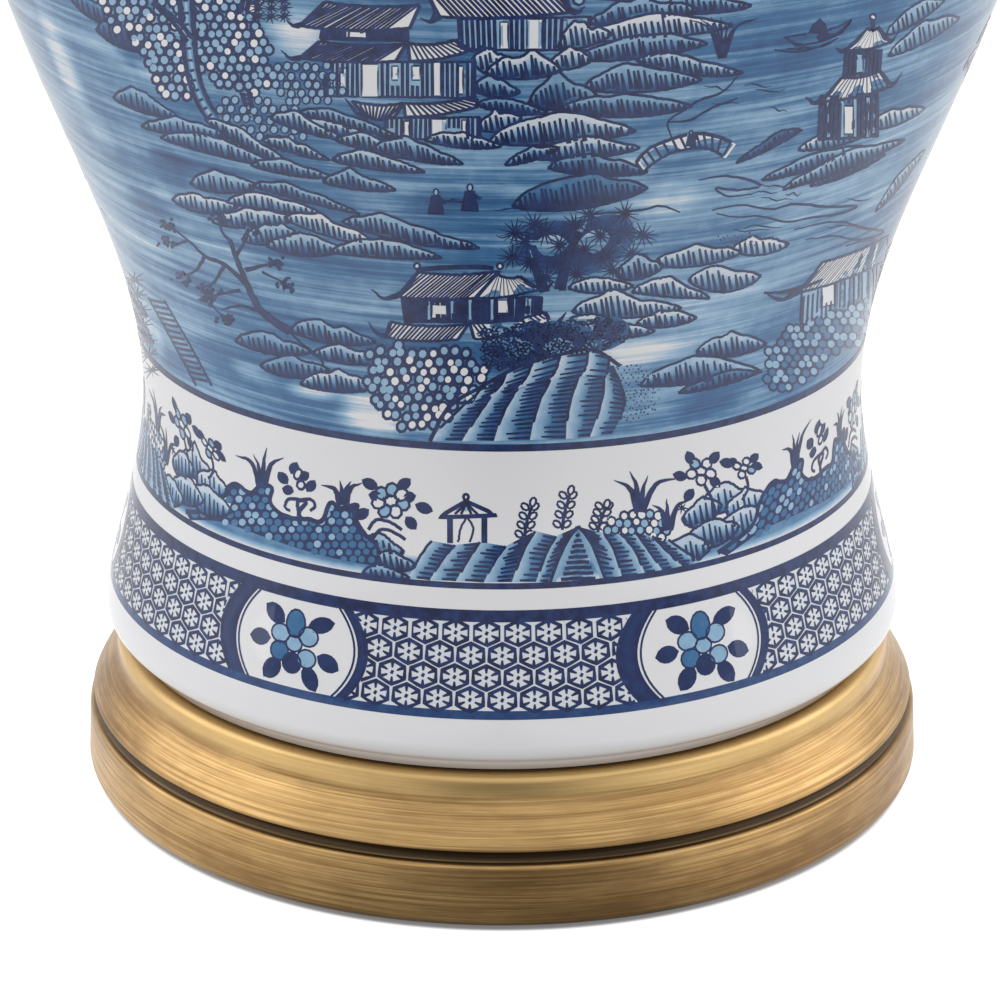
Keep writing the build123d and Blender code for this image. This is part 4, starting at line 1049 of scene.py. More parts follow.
def bare_tree():
    """A leafless tree that leans over the water."""
    for points, width in (
            ([(290, 332), (262, 312), (252, 295), (245, 280), (238, 262), (230, 240)], (2.8, 1.2)),
            ([(250, 288), (225, 265), (205, 256), (188, 240), (166, 224)], (1.8, 0.4)),
            ([(245, 270), (262, 266), (274, 262)], (1.3, 0.3)),
            ([(262, 272), (285, 283)], (0.9, 0.3)), ([(240, 290), (207, 297)], (0.9, 0.3)),
            ([(222, 290), (212, 304), (225, 318)], (0.9, 0.3)),
            ([(205, 256), (196, 270), (180, 278)], (1.0, 0.3)),
            ([(232, 242), (222, 232), (218, 216)], (1.1, 0.3)),
            ([(236, 255), (246, 240), (250, 226)], (1.0, 0.3)),
            ([(225, 265), (214, 282), (202, 288)], (1.0, 0.3)),
            ([(188, 240), (176, 244), (166, 240)], (0.8, 0.3)),
            ([(262, 312), (240, 306), (222, 310)], (1.1, 0.3))):
        stroke(points, width)
    for x, y in ((166, 224), (180, 278), (207, 297), (218, 216), (250, 226), (274, 262),
                 (225, 318), (285, 283), (166, 240), (202, 288)):
        tuft(x, y, 6, 7)
        tuft(x + 6, y + 4, 5, 5)
        for _ in range(6):
            shape(on_jar(oval(x + chance.uniform(-9, 9), y + chance.uniform(-5, 5),
                              chance.uniform(1.6, 3.2), chance.uniform(1.2, 2.2),
                              chance.uniform(-1, 1), 6)), "dark")


def curled_rock():
    """Folded ground at the water's edge, its folds pale on one side and hatched on the other."""
    folds([[(484, 388), (468, 402), (448, 420), (430, 441)],
           [(504, 380), (490, 398), (476, 418), (462, 441)],
           [(530, 372), (514, 394), (502, 416), (494, 441)],
           [(560, 366), (546, 388), (536, 412), (530, 440)],
           [(584, 362), (576, 384), (568, 410), (566, 439)],
           [(602, 360), (604, 382), (600, 408), (590, 437)],
           [(612, 366), (622, 388), (624, 410), (612, 434)]])
    folds([[(486, 387), (478, 392), (470, 404)], [(506, 374), (500, 386), (490, 396)],
           [(532, 364), (526, 378), (518, 388)], [(560, 356), (556, 370), (550, 380)],
           [(588, 352), (586, 366), (582, 376)], [(610, 356), (608, 368), (606, 378)]],
          0.08, 0.6, 0.3)
    stroke([(430, 441), (448, 408), (486, 384), (520, 366), (560, 354), (594, 350), (620, 366)],
           0.9)


def scribble(outline):
    """Low bushes: dark, scribbled all over."""
    pitch, tone = 5.5, 0.85
    pool(smooth(outline, True, 3), (0, 0.4, 1), (tone * 0.75, tone, tone))
    for x, y in packed(outline, pitch, 0.3):
        turns = np.linspace(0, 5.2, 6) + chance.uniform(0, 6)
        stroke(np.stack([x + np.cos(turns) * 2.4, y + np.sin(turns) * 2.1], -1), 0.5)


def dotted(outline, pitch=4.6):
    """Ground covered with ink dots."""
    for x, y in packed(outline, pitch, 0.3):
        spot = chance.uniform(0.7, 1.2)
        shape(on_jar(oval(x, y, spot, spot, 0, 5)), "dark")


# The rocks of each place, as rock takes them. On the side that faces the picture everything is
# laid out from back to front, where it stands. Above it and round the sides the same things come
# again, moved and drawn larger, on more water.
near_rocks = {
    "left bank": [
        (113, 98, 178, 117, 16, .3, .45, .95, 6), (141, 127, 236, 136, 14, .35, .35, .9, 5),
        (160, 138, 285, 168, 16, .35, .3, .95, 4), (205, 120, 295, 168, 12, .4, .2, .9, 6),
        (270, 118, 345, 140, 14, .3, .2, .85, 4), (262, 140, 330, 160, 10, .4, .2, .8, 4),
        (250, 165, 335, 178, 12, .4, .35, .95, 4), (300, 112, 400, 137, 12, .35, .4, .85, 5),
        (290, 122, 385, 138, 9, .4, .2, .8, 5), (335, 140, 405, 150, 12, .4, .2, .85, 5),
        (372, 150, 463, 164, 18, .35, .35, .9, 4), (332, 160, 425, 172, 14, .3, .2, .9, 4),
        (323, 182, 396, 190, 16, .35, .35, .9, 4), (425, 140, 502, 146, 12, .4, .1, .8, 5)],
    "hills": [
        (640, 10, 752, 6, 18, .4, .4, .9, 6), (588, 24, 700, 10, 22, .4, .4, .9, 4),
        (472, 60, 512, 62, 12, .4, .1, .6, 14), (485, 74, 562, 72, 24, .6, .1, .8, 6),
        (474, 90, 520, 92, 16, .3, .4, .85, 6), (476, 104, 548, 112, 10, .4, .5, .95, 6),
        (478, 128, 522, 118, 14, .4, .1, .7, 8), (558, 48, 612, 34, 22, .3, .1, .6, 6),
        (548, 66, 592, 60, 16, .6, .1, .7, 6), (572, 40, 733, 26, 20, .5, .05, .55, 6),
        (576, 60, 708, 44, 20, .5, .4, .8, 6), (636, 60, 743, 73, 12, .3, .25, .75, 8),
        (583, 88, 702, 80, 22, .35, .4, .75, 8), (528, 104, 600, 100, 30, .4, .5, .95, 8),
        (560, 108, 692, 106, 14, .45, .45, .95, 10), (488, 142, 636, 131, 24, .45, .1, .85, 8),
        (530, 158, 640, 148, 18, .45, .15, .9, 6), (548, 168, 648, 172, 18, .45, .6, 1, 6),
        (505, 165, 560, 148, 10, .5, .3, .85, 4), (512, 206, 648, 188, 26, .5, .75, 1, 12)],
    "far bank": [
        (885, 35, 945, 0, 14, .5, .3, .6, 6), (888, 56, 960, 18, 16, .5, .3, .6, 6),
        (862, 128, 925, 108, 10, .5, .1, .6, 8), (798, 150, 868, 134, 12, .5, .05, .7, 5),
        (762, 180, 862, 146, 10, .5, .4, .95, 6), (783, 189, 905, 140, 14, .5, .3, .85, 6),
        (810, 186, 885, 155, 10, .5, .7, .95, 5), (875, 212, 925, 150, 8, .5, .3, .8, 6)],
    "island": [
        (190, 184, 258, 186, 16, .35, .3, .8, 8), (252, 186, 360, 214, 14, .3, .4, .9, 2),
        (172, 200, 238, 206, 10, .3, .1, .85, 10), (226, 202, 320, 213, 14, .4, .1, .7, 3),
        (212, 222, 300, 218, 12, .4, .15, .85, 8), (242, 240, 296, 232, 14, .5, .3, .8, 8),
        (284, 218, 384, 246, 14, .35, .05, .6, 6), (266, 246, 345, 250, 16, .4, .3, .9, 8),
        (342, 222, 480, 248, 16, .3, .35, .8, 8), (330, 252, 442, 258, 18, .45, .25, .8, 3)],
    "headland": [
        (732, 250, 789, 244, 12, .4, .05, .5, 8), (652, 264, 742, 252, 14, .5, .15, .65, 8),
        (616, 276, 664, 266, 18, .4, .3, .75, 8), (688, 280, 761, 276, 12, .4, .15, .7, 14),
        (568, 288, 634, 286, 12, .4, .1, .6, 6), (632, 292, 710, 298, 18, .4, .1, .7, 2),
        (572, 312, 682, 308, 18, .35, .1, .7, 8), (636, 324, 697, 318, 12, .5, .1, .8, 6),
        (560, 324, 655, 331, 12, .35, .1, .8, 10)],
    "right shore": [
        (696, 352, 767, 344, 16, .5, .25, .9, 8), (640, 386, 762, 372, 28, .45, .3, .95, 4),
        (678, 393, 760, 372, 10, .6, .7, 1, 4)],
    "left shore": [
        (235, 341, 312, 352, 14, .35, .5, .95, 8), (290, 330, 376, 342, 16, .35, .4, .85, 8),
        (260, 366, 330, 370, 12, .4, .5, .95, 10), (312, 354, 384, 362, 14, .4, .25, .9, 6),
        (300, 384, 378, 388, 18, .45, .15, .95, 6)]}


def tint(x, y, wide, tall, tone, facing):
    """A soft patch of lighter or darker water, its size in points of the picture."""
    move(facing)
    (turn, up), = on_jar([(x, y)])
    radius = wall_radius(up)
    across = beside(jar_turn, turn) * radius / (wide / POINTS_A_MM)
    near = np.clip(1.25 - np.hypot(across, (jar_up - up) / (tall / POINTS_A_MM)), 0, 1)
    soft = near * near * (3 - 2 * near) * (brush > 0.9)
    wash[:] = wash + (tone - wash) * soft


def grass_tuft():
    """Tall grass on the ridge behind the bridge."""
    grass(722, 58, 9, 40, 0.9, 0.9)


# The water: broad pale and dark bands laid on with a brush, then soft patches of one tone.
WATER_LOW, WATER_HIGH = float(up_of(111.9)), float(up_of(346))
zone = (jar_up > WATER_LOW) & (jar_up < WATER_HIGH)
for index in np.flatnonzero(zone):
    x, y, z = jar_place[index]
    broad = noise.noise(Vector((x / 60, y / 60, z / 16))) + 0.6 * noise.noise(
        Vector((x / 24, y / 24, z / 6 + 9)))
    wash[index] = 0.45 + 0.25 * broad
brush[zone] = 1.0
for facing in (0.0, math.pi):
    for patch in ((170, 170, 30, 30, .66), (150, 205, 55, 26, .6), (215, 292, 80, 36, .54),
                  (240, 362, 60, 40, .6), (310, 408, 70, 24, .62), (300, 36, 40, 30, .04),
                  (162, 192, 20, 8, .2), (372, 414, 42, 34, .02), (640, 352, 70, 22, .03),
                  (668, 200, 50, 30, .2), (480, 232, 90, 18, .58), (620, 170, 40, 30, .3),
                  (760, 110, 60, 26, .42), (540, 205, 60, 14, .62), (790, 226, 60, 30, .34),
                  (700, 330, 60, 16, .3), (880, 190, 40, 40, .3), (450, 205, 70, 26, .6),
                  (62, 60, 34, 66, .1), (96, 128, 36, 30, .28), (176, 163, 40, 14, .78),
                  (128, 44, 34, 30, .66), (154, 333, 30, 40, .26), (224, 358, 60, 22, .62),
                  (205, 410, 40, 24, .24), (312, 392, 34, 12, .16), (710, 402, 60, 20, .66),
                  (560, 236, 50, 18, .3), (860, 300, 40, 30, .62), (250, 372, 34, 14, .37),
                  (600, -60, 200, 60, .2), (260, -150, 160, 60, .22), (780, -120, 120, 60, .24),
                  (500, -330, 380, 90, .2), (220, 250, 60, 14, .34), (820, 400, 60, 30, .5)):
        tint(*patch, facing)

QUARTER = math.pi / 2
island, hills, far_bank = [near_rocks[name] for name in ("island", "hills", "far bank")]


def laid(facing, *things):
    """Things from the picture, each moved from its place there to another, at a size."""
    for draw, place, target, size in things:
        move(facing, place, target, size)
        rocks(*draw) if isinstance(draw, list) else draw()


for facing in (QUARTER, 3 * QUARTER):
    laid(facing,
         (island, (310, 220), (300, -450), 1.0), (island, (310, 220), (640, -440), 1.1),
         (boat, (820, 40), (250, -350), 1.5), (hills[5:12], (450, 60), (430, -250), 1.3),
         (pine_wood, (590, 245), (590, -330), 1.3), (great_pavilion, (450, 60), (430, -250), 1.3),
         (far_bank[2:], (845, 110), (770, -230), 1.3), (pagoda, (845, 110), (770, -230), 1.3),
         (round_tree, (190, 30), (200, -160), 1.2), (island, (310, 220), (230, -50), 1.2),
         (hills[8:], (580, 120), (540, -80), 1.3), (grass_tuft, (722, 58), (650, -40), 1.2),
         (island, (310, 220), (450, 170), 1.0),
         ([(430, 340, 560, 345, 14, .4, .3, .9, 6)], (460, 300), (510, 260), 1.0),
         (small_pavilion, (460, 300), (510, 260), 1.0),
         (near_rocks["right shore"], (700, 360), (600, 400), 1.0),
         (near_rocks["left shore"], (330, 365), (400, 385), 1.0))
    move(facing)
    scribble([(440, 360), (520, 350), (560, 372), (520, 396), (450, 392)])
    ripples(330, 640, 60, 420, 14)
for facing in (0.5 * QUARTER, 1.5 * QUARTER, 2.5 * QUARTER, 3.5 * QUARTER):
    laid(facing,
         (island, (310, 220), (480, -470), 0.9), (island, (310, 220), (520, -330), 1.2),
         (boat, (820, 40), (500, -210), 1.4), (island, (310, 220), (520, -120), 1.0),
         (pine_wood, (590, 245), (520, -170), 0.9), (island, (310, 220), (520, 10), 0.9))
    move(facing)
    ripples(420, 600, -300, 60, 16)
for facing in (0.0, math.pi):
    # the upper half: far islands, a hill with halls and trees, and a tower
    laid(facing,
         (island, (310, 220), (250, -460), 1.0), (island, (310, 220), (560, -480), 1.0),
         (island, (310, 220), (800, -430), 1.1), (boat, (820, 40), (500, -400), 1.5),
         (far_bank[3:], (860, 80), (230, -330), 1.4), (pagoda, (860, 80), (230, -330), 1.4),
         (small_pavilion, (460, 300), (590, -350), 1.2), (pine_wood, (590, 245), (720, -370), 1.2),
         (island, (310, 220), (640, -290), 1.4), (hills, (600, 80), (700, -170), 1.3),
         (pine_wood, (590, 245), (680, -270), 1.2), (round_tree, (190, 30), (420, -180), 1.5),
         (near_rocks["left bank"][:7], (215, 140), (190, -210), 1.3),
         (island, (310, 220), (190, -110), 1.2), (island, (310, 220), (860, -110), 1.1))
    # the lower half, as it faces the picture
    move(facing)
    for points in ([(699, 180), (722, 176), (746, 179), (760, 186), (738, 190), (716, 188),
                    (728, 196), (752, 194)],
                   [(712, 210), (742, 205), (770, 209), (796, 204), (830, 207), (858, 206),
                    (838, 214), (808, 218), (786, 222), (760, 216), (734, 217), (716, 213)],
                   [(794, 230), (818, 224), (842, 222), (862, 228), (884, 232), (860, 240),
                    (832, 236), (806, 240)],
                   [(738, 76), (722, 92), (700, 100), (684, 110), (668, 122), (672, 138)],
                   [(668, 122), (690, 120), (712, 108), (738, 98)],
                   [(596, 214), (640, 210), (662, 206), (680, 212)],
                   [(846, 246), (868, 240), (888, 244)]):
        stroke(points, (0.35, 0.7, 0.6, 0.3))
    rocks((736, 163, 802, 130, 10, .7, .9, 1, 3))
    ripples(700, 850, 178, 232, 8)
    ripples(690, 770, 85, 115, 5)
    ripples(400, 560, 200, 240, 5)
    rocks(*near_rocks["far bank"])
    pagoda()
    boat()
    great_pavilion()
    rocks(*near_rocks["hills"])
    grass_tuft()
    bridge()
    rocks((70, -2, 118, 22, 10, .4, .7, .95, 10), (96, 30, 170, 44, 26, .5, .75, .98, 14),
          (60, -30, 120, -8, 12, .4, .5, .9, 8))
    round_tree()
    rocks(*near_rocks["left bank"])
    for x, y, tall in ((436, 214, 26), (470, 211, 28)):
        standing(x, y, tall)
    rocks(*near_rocks["island"])
    pine_wood()
    rocks(*near_rocks["headland"])
    bare_tree()
    scribble([(548, 322), (620, 318), (628, 338), (600, 352), (560, 350)])
    small_pavilion()
    round_hut()
    rocks(*near_rocks["right shore"])
    rocks(*near_rocks["left shore"])
    foliage([(370, 352), (400, 344), (470, 348), (486, 372), (478, 404), (440, 424), (400, 428),
             (366, 396)], 10.4, ("white", "pale", "pale"), size=0.34, loose=0.22)
    scribble([(478, 330), (548, 320), (600, 334), (590, 362), (530, 366), (486, 372)])
    curled_rock()
    dotted([(610, 366), (640, 362), (664, 384), (656, 410), (628, 424), (612, 400)])
    dotted([(716, 236), (752, 232), (760, 246), (720, 250)], 5)
    stroke([(283, 325), (300, 342), (318, 356), (325, 368)], 0.6)
    for k in range(14):
        x, y = 150 + k * 3.3, 300 + k * 6
        stroke([(x, y), (x + 15, y + 3)], 0.7)
    for x, y in ((148, 298), (164, 300)):
        stroke([(x, y), (x + 48, 386)], 0.9)
    for k in range(7):
        burst(134 + k * 3, 280 + k * 15, 12, 9)

# The border: blossom, rocks, pebble mounds, a garden house and folded ground, four times round.
edge_low, edge_high = float(up_of(79.4)), float(up_of(84.5))
for quarter in range(4):
    move(quarter * QUARTER)
    middle = on_jar([(560, 540)])[0][0]
    flood(box(middle - 0.79, edge_low, middle + 0.79, edge_high), 0.5, 0.3, cover=False)
for quarter in range(4):
    move(quarter * QUARTER)
    grass(262, 488, 4, 34, 0.75)
    grass(343, 505, 4, 26, 0.9)
    for x, y in ((682, 508), (705, 500)):
        burst(x, y, 8, 7)
    rocks((682, 520, 722, 505, 16, .5, .15, .75, 14), (700, 505, 745, 492, 18, .5, .1, .7, 14),
          (725, 510, 765, 494, 14, .5, .1, .7, 18), (686, 540, 740, 526, 16, .5, .2, .8, 14),
          (716, 530, 772, 512, 16, .5, .15, .8, 16), (660, 552, 712, 545, 14, .5, .2, .8, 16))
    dark_leaves(4.4, (714, 458, 15, -0.9), (727, 463, 15, 0.2), (715, 482, 14, 0.9),
                (689, 495, 14, 2.2), (680, 476, 14, 3.4), (690, 458, 14, 4.3))
    blossom(701, 471, 10, 5, 0.6)
    dark_leaves(3.6, (754, 458, 11, -0.8), (757, 466, 11, 0.3), (733, 462, 10, 3.6))
    blossom(744, 468, 7.5, 4, 0.6)
    stroke([(704, 484), (712, 500), (716, 516)], 0.8)
    stroke([(746, 476), (748, 488), (742, 500)], 0.8)
    # the garden house and the folded ground round it
    shape(on_jar([(466, 501), (495, 514), (441, 516)]), "pale")
    line(on_jar([(466, 501), (497, 515), (439, 517)]), 1.0, closed=True)
    for x in (455, 461, 471, 478):
        stroke([(466, 503), (x, 514)], 0.6)
    for x in (450, 484):
        stroke([(x, 515), (x, 543)], 1.3)
    for x in (461, 473):
        stroke([(467, 516), (x, 528), (x - 3, 542)], 0.5)
    leaf(466, 497, 2.6, 3, 0, "white", 0.7)
    for x, y, tall in ((524, 540, 38), (562, 530, 40), (598, 532, 28)):
        for side in range(4):
            for way in (-1, 1):
                leaf(x + side * 2 + way * 5, y - 6 - side * tall * 0.24, 4.4, 3.0, way * -0.7,
                     "white", 0.55)
        leaf(x + 9, y - tall, 3, 4.6, 0.3, "white", 0.55)
        stroke([(x, y), (x + 3, y - tall * 0.5), (x + 8, y - tall * 0.9)], 0.7)
    foliage([(603, 545), (604, 528), (616, 514), (640, 508), (660, 514), (668, 530), (664, 548)],
            8.4, ("white", "pale"))
    grass(640, 512, 4, 36, 1.0)
    grass(668, 530, 3, 32, 0.8)
    folds([[(432, 541), (420, 556), (408, 578)], [(455, 545), (442, 560), (430, 580)],
           [(480, 542), (468, 560), (456, 581)], [(506, 546), (494, 562), (484, 582)],
           [(535, 531), (522, 554), (512, 582)], [(556, 536), (545, 556), (536, 582)],
           [(577, 527), (562, 548), (548, 583)]], 0.16, 0.62)
    folds([[(668, 540), (686, 552), (700, 562)], [(652, 536), (668, 552), (682, 566)],
           [(636, 533), (650, 552), (662, 570)], [(620, 533), (636, 552), (645, 574)],
           [(604, 533), (616, 554), (622, 578)], [(579, 527), (592, 545), (606, 581)]], 0.16, 0.62)
    path = [[(578, 526), *down] for down in ([(564, 547), (550, 583)], [(577, 548), (578, 583)],
                                             [(592, 545), (606, 581)])]
    strip([on_jar(smooth(side)) for side in path], (0.25, 0.5, 0.25))
    for k in range(9):
        y, half = 535 + k * 5.4, 2 + k * 1.9
        stroke([(578 - half, y + 1), (578, y), (578 + half, y)], 0.8)
    for side in (path[0], path[2]):
        stroke(side, 0.7)
    rocks((362, 545, 404, 552, 14, .4, .3, .8, 8), (372, 560, 416, 566, 12, .4, .3, .85, 8),
          (362, 574, 410, 578, 12, .4, .4, .9, 4))
    # the pebble mound with its scrolled stem and the large blossom beside it
    mound = [(186, 512), (212, 510), (221, 495), (228, 487), (237, 484), (250, 493), (262, 485),
             (272, 488), (270, 500), (278, 512), (292, 518), (308, 519), (322, 521), (330, 503),
             (341, 508), (357, 505), (354, 515), (364, 533), (378, 545), (378, 566), (352, 562),
             (310, 552), (262, 536), (222, 522), (190, 520)]
    top, base = smooth(mound[:19], per=3), smooth(mound[:18:-1], per=12)
    base = base[np.linspace(0, len(base) - 1, len(top)).astype(int)]
    strip([on_jar(top * (1 - d) + base * d) for d in np.linspace(0, 1, 7)], np.full(7, 0.95))
    for x, y in packed(mound, 8.8, 0.1):
        wide = 8.8 * chance.uniform(0.36, 0.44)
        shape(on_jar(oval(x, y, wide, wide, 0)), chance.choice(("mid", "mid", "pale")), leaves)
    stroke(mound[:19], 1.1)
    for x, side in ((290, -1), (310, 1)):
        stroke([(300, 524), (299, 512), (302 - side * 4, 502), (x, 499), (x + side * 5, 506),
                (x, 511)], (1.2, 0.9, 0.7))
    dark_leaves(4.4, (283, 478, 14, 0.9), (294, 468, 12, -1.1), (311, 486, 13, 2.2),
                (288, 490, 11, 0.3), (304, 476, 11, -0.6))
    leaf(298, 474, 4, 5.5, 0.3, "white", 0.7)
    leaf(301, 485, 4, 4.5, -0.3, "white", 0.7)
    dark_leaves(5, (370, 484, 17, 0.5), (362, 514, 16, -0.5), (404, 484, 16, -0.6),
                (424, 508, 18, 0.4), (411, 523, 15, 0.9), (376, 496, 14, 0.2),
                (409, 497, 13, -0.2))
    blossom(391, 501, 12.5, 7, 0.65)
    for x, y in ((368, 524), (372, 534)):
        stroke([(x, y + 6), (x + 8, y - 4), (x + 22, y - 2), (x + 34, y + 6)], 0.8)

# The band of hexagons: rings with pale gaps between them, six ticks, six dots and an eye in
# each, four rows of eighty-two.
HEX_ROUND, HEX_ROWS = 82, 4
hex_low, hex_high = float(up_of(51.6)), float(up_of(70.9))
hex_rise = (hex_high - hex_low) / HEX_ROWS


def diaper(low, rise, rows, around):
    """Rows of hexagons, each with its ring, ticks and eye."""
    across, tall = ROUND / around / math.sqrt(3), rise / 1.5
    for row in range(rows):
        for column in range(around):
            turn, up = (column + row % 2 / 2) * ROUND / around, low + (row + 0.5) * rise

            def at(angle, reach):
                return turn + math.sin(angle) * reach * across, up + math.cos(angle) * reach * tall
            line([at(k * math.pi / 3, 0.82) for k in range(6)], 0.85, closed=True)
            for k in range(6):
                angle = k * math.pi / 3
                line([at(angle, 0.76), at(angle, 0.3)], (0.95, 0.4))
            line([at(0.4, 0.13), at(0.4 + math.pi, 0.13)], 0.7)


for start in (-QUARTER, QUARTER):
    flood(box(start, hex_low, start + 2 * QUARTER, hex_high), 0.04, 0, False)
diaper(hex_low, hex_rise, HEX_ROWS, HEX_ROUND)
ring_line(72.2, 2.7)
ring_line(50.7, 2.0, "deep")
ring_line(111.0, 1.8)
ring_line(78.8, 1.4)

# Six cartouches break the band: a white place between thick dark arcs, with one blossom.
hex_middle = (hex_low + hex_high) / 2
across_arc = np.linspace(-1, 1, 15)
for sixth in range(6):
    middle = math.radians(-30.7 + 60 * sixth)
    radius = float(wall_radius(hex_middle))
    half = (hex_high - hex_low) / 2 + 0.05

    def spots(x, y):
        """Places on the cartouche, x and y in millimetres from its middle."""
        return np.stack(np.broadcast_arrays(middle + np.asarray(x) / radius,
                                            hex_middle + np.asarray(y)), -1)

    def arc(reach):
        return reach - 4.6 * across_arc**2
    ground = 16.2 * (1 - 0.284 * across_arc**2)
    flood(np.vstack([spots(-ground, across_arc * half), spots(ground, across_arc * half)[::-1]]),
          0.0, 0)
    for way, reach in ((-1, 21), (1, 18.4)):
        strip([spots(way * arc(edge), across_arc * half)
               for edge in (reach, (reach + 16.2) / 2, 16.2)], (1.0, 0.92, 1.0))
        for side, width in ((15.4, 0.5), (reach, 0.6)):
            line(spots(way * arc(side), across_arc * half), width)
    for x, y, long, wide, tilt in ((-5.8, 5.8, 6.6, 2.1, -0.5), (-9.1, -0.4, 6.0, 2.0, 0.1),
                                   (-4.8, -6.6, 6.4, 2.2, 0.9), (5.2, -7.0, 6.6, 2.0, -1.0),
                                   (9.2, -2.8, 6.2, 2.0, -0.4), (6.6, 5.4, 7.2, 1.9, 0.3)):
        shape(spots(*pointed(x, y, long, wide, tilt, 7, 0.6).T), "dark", leaves)
    for x, y, wide, tall, tone in ((-3.7, 1.7, 2.5, 2.1, "pale"), (3.7, 2.2, 2.5, 2.2, "pale"),
                                   (-3.4, -2.3, 2.4, 2.2, "mid"), (3.8, -2.8, 2.4, 2.1, "pale"),
                                   (0.2, -4.4, 2.4, 2.3, "dark"), (0, 4.6, 2.5, 3.2, "mid"),
                                   (0.2, 0.0, 2.1, 1.8, "pale")):
        petal = spots(*oval(x, y, wide, tall, corners=14).T)
        shape(petal, tone, leaves)
        line(petal, 0.45, closed=True)

# Round the shoulder the landscape ends at two lines and a narrow band of the same hexagons.
ring_line(346, 1.6)
shoulder_low = float(up_of(346)) + 6
diaper(shoulder_low, 4.7, 3, 62)
for up in (shoulder_low - 1.6, shoulder_low + 14.6 + 1.0):
    turn = np.linspace(0, ROUND, 241)
    line(np.stack([turn, np.full(241, up)], -1), 1.4)

# ---- Glaze and inks ------------------------------------------------------------------------
# A clear glossy glaze over white ware and over cobalt that is thin and greyish in the washes and
# nearly black-blue where it is thick.
WHITE, PALE = rgb(238, 238, 240), rgb(150, 188, 218)
MID, DEEP, NAVY = rgb(58, 114, 162), rgb(28, 62, 118), rgb(18, 36, 88)
GLOSS = {"Coat Weight": 1.0, "Coat Roughness": 0.04, "Coat IOR": 1.5, "Specular IOR Level": 0.2,
         "Roughness": 0.45}


def blue(tone):
    """The colour of a depth of cobalt, 0 to 1."""
    return tone.colours((0.0, WHITE), (0.25, PALE), (0.55, MID), (0.82, DEEP), (1.0, NAVY))


def kept(at, name):
    """A measure kept at each corner of the piece."""
    return at.node("ShaderNodeAttribute", {"attribute_name": name}, {}, "Fac")


def glaze_colour(at):
    depth, streaked = kept(at, "wash"), kept(at, "brush")
    streaks = at.stretched(14, 14, 620).cloud(1, 6, 0.7) - 0.5
    mottle = at.cloud(260, 5, 0.6) - 0.5
    return blue(depth + streaks * streaked * 1.2 + mottle * depth.between(0.0, 0.12) * 0.24)


def tone_colour(at):
    depth = kept(at, "tone")
    return blue(depth + (at.cloud(340, 5, 0.6) - 0.5) * depth.between(0.0, 0.2) * 0.3)


glaze = finish("printed_glaze", glaze_colour, GLOSS)
inks = {"print_tones": finish("print_tones", tone_colour, GLOSS),
        "print_leaves": finish("print_leaves", tone_colour, GLOSS),
        "print_lines": finish("print_lines", lambda at: at.cloud(420, 4).between(0.3, 0.7).blend(
            rgb(18, 30, 74), rgb(32, 56, 112)), GLOSS)}


def unrolled(mesh, turns, ups):
    """The piece's own map, as the wall rolled out flat, for a mesh whose corners are known."""
    chart = mesh.uv_layers.new(name="OFBake")
    corner = np.empty(len(mesh.loops), int)
    mesh.loops.foreach_get("vertex_index", corner)
    start, total = np.empty(len(mesh.polygons), int), np.empty(len(mesh.polygons), int)
    mesh.polygons.foreach_get("loop_start", start)
    mesh.polygons.foreach_get("loop_total", total)
    u = (turns[corner] / ROUND + 0.5) % 1.0
    face_of = np.repeat(np.arange(len(start)), total)
    high = np.zeros(len(start))
    np.maximum.at(high, face_of, u)
    u = np.where(high[face_of] - u > 0.5, u + 1.0, u)
    v = ups[corner] / fine_up[-1]
    chart.data.foreach_set("uv", np.stack([u, v], -1).ravel())


def print_piece(layer):
    """Makes a layer's shown faces into pieces of the object, small enough for its files."""
    most = 70000
    places, tones = np.vstack(layer.places), np.concatenate(layer.tones)
    shown = np.vstack(layer.faces)[layer.shown[:layer.count]]
    parts = max(1, math.ceil(len(shown) / most))
    for part, faces in enumerate(np.array_split(shown, parts)):
        used, faces = np.unique(faces, return_inverse=True)
        faces = faces.reshape(-1, 4)
        lost = 1 if used[0] < 0 else 0
        turn, up = places[used[lost:]].T
        place, normal = on_wall(turn, up, layer.lift)
        mesh = bpy.data.meshes.new(layer.name)
        mesh.from_pydata(place.tolist(), [], [[corner - lost for corner in face if corner >= lost]
                                              for face in faces.tolist()])
        mesh.update()
        facing = np.empty(len(mesh.polygons) * 3)
        mesh.polygons.foreach_get("normal", facing)
        first = np.array([polygon.vertices[0] for polygon in mesh.polygons])
        for index in np.flatnonzero((facing.reshape(-1, 3) * normal[first]).sum(1) < 0):
            mesh.polygons[index].flip()
        mesh.attributes.new("tone", "FLOAT", "POINT").data.foreach_set("value", tones[used[lost:]])
        unrolled(mesh, turn, up)
        mesh.polygons.foreach_set("use_smooth", np.ones(len(mesh.polygons), bool))
        mesh.normals_split_custom_set_from_vertices(normal.tolist())
        piece = bpy.data.objects.new(layer.name if parts == 1 else f"{layer.name}_{part + 1}",
                                     mesh)
        bpy.context.collection.objects.link(piece)
        wear(piece, inks[layer.name])
        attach(piece, "stand")


for name, values in (("wash", wash), ("brush", brush)):
    jar.data.attributes.new(name, "FLOAT", "POINT").data.foreach_set("value", values)
inside_up = np.where(nearest >= 0, jar_up, 0.98 * fine_up[-1])
unrolled(jar.data, jar_turn, inside_up)
wear(jar, glaze)
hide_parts("jar_body")
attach(jar, "stand")
for layer in (ink, flat, leaves):
    print_piece(layer)

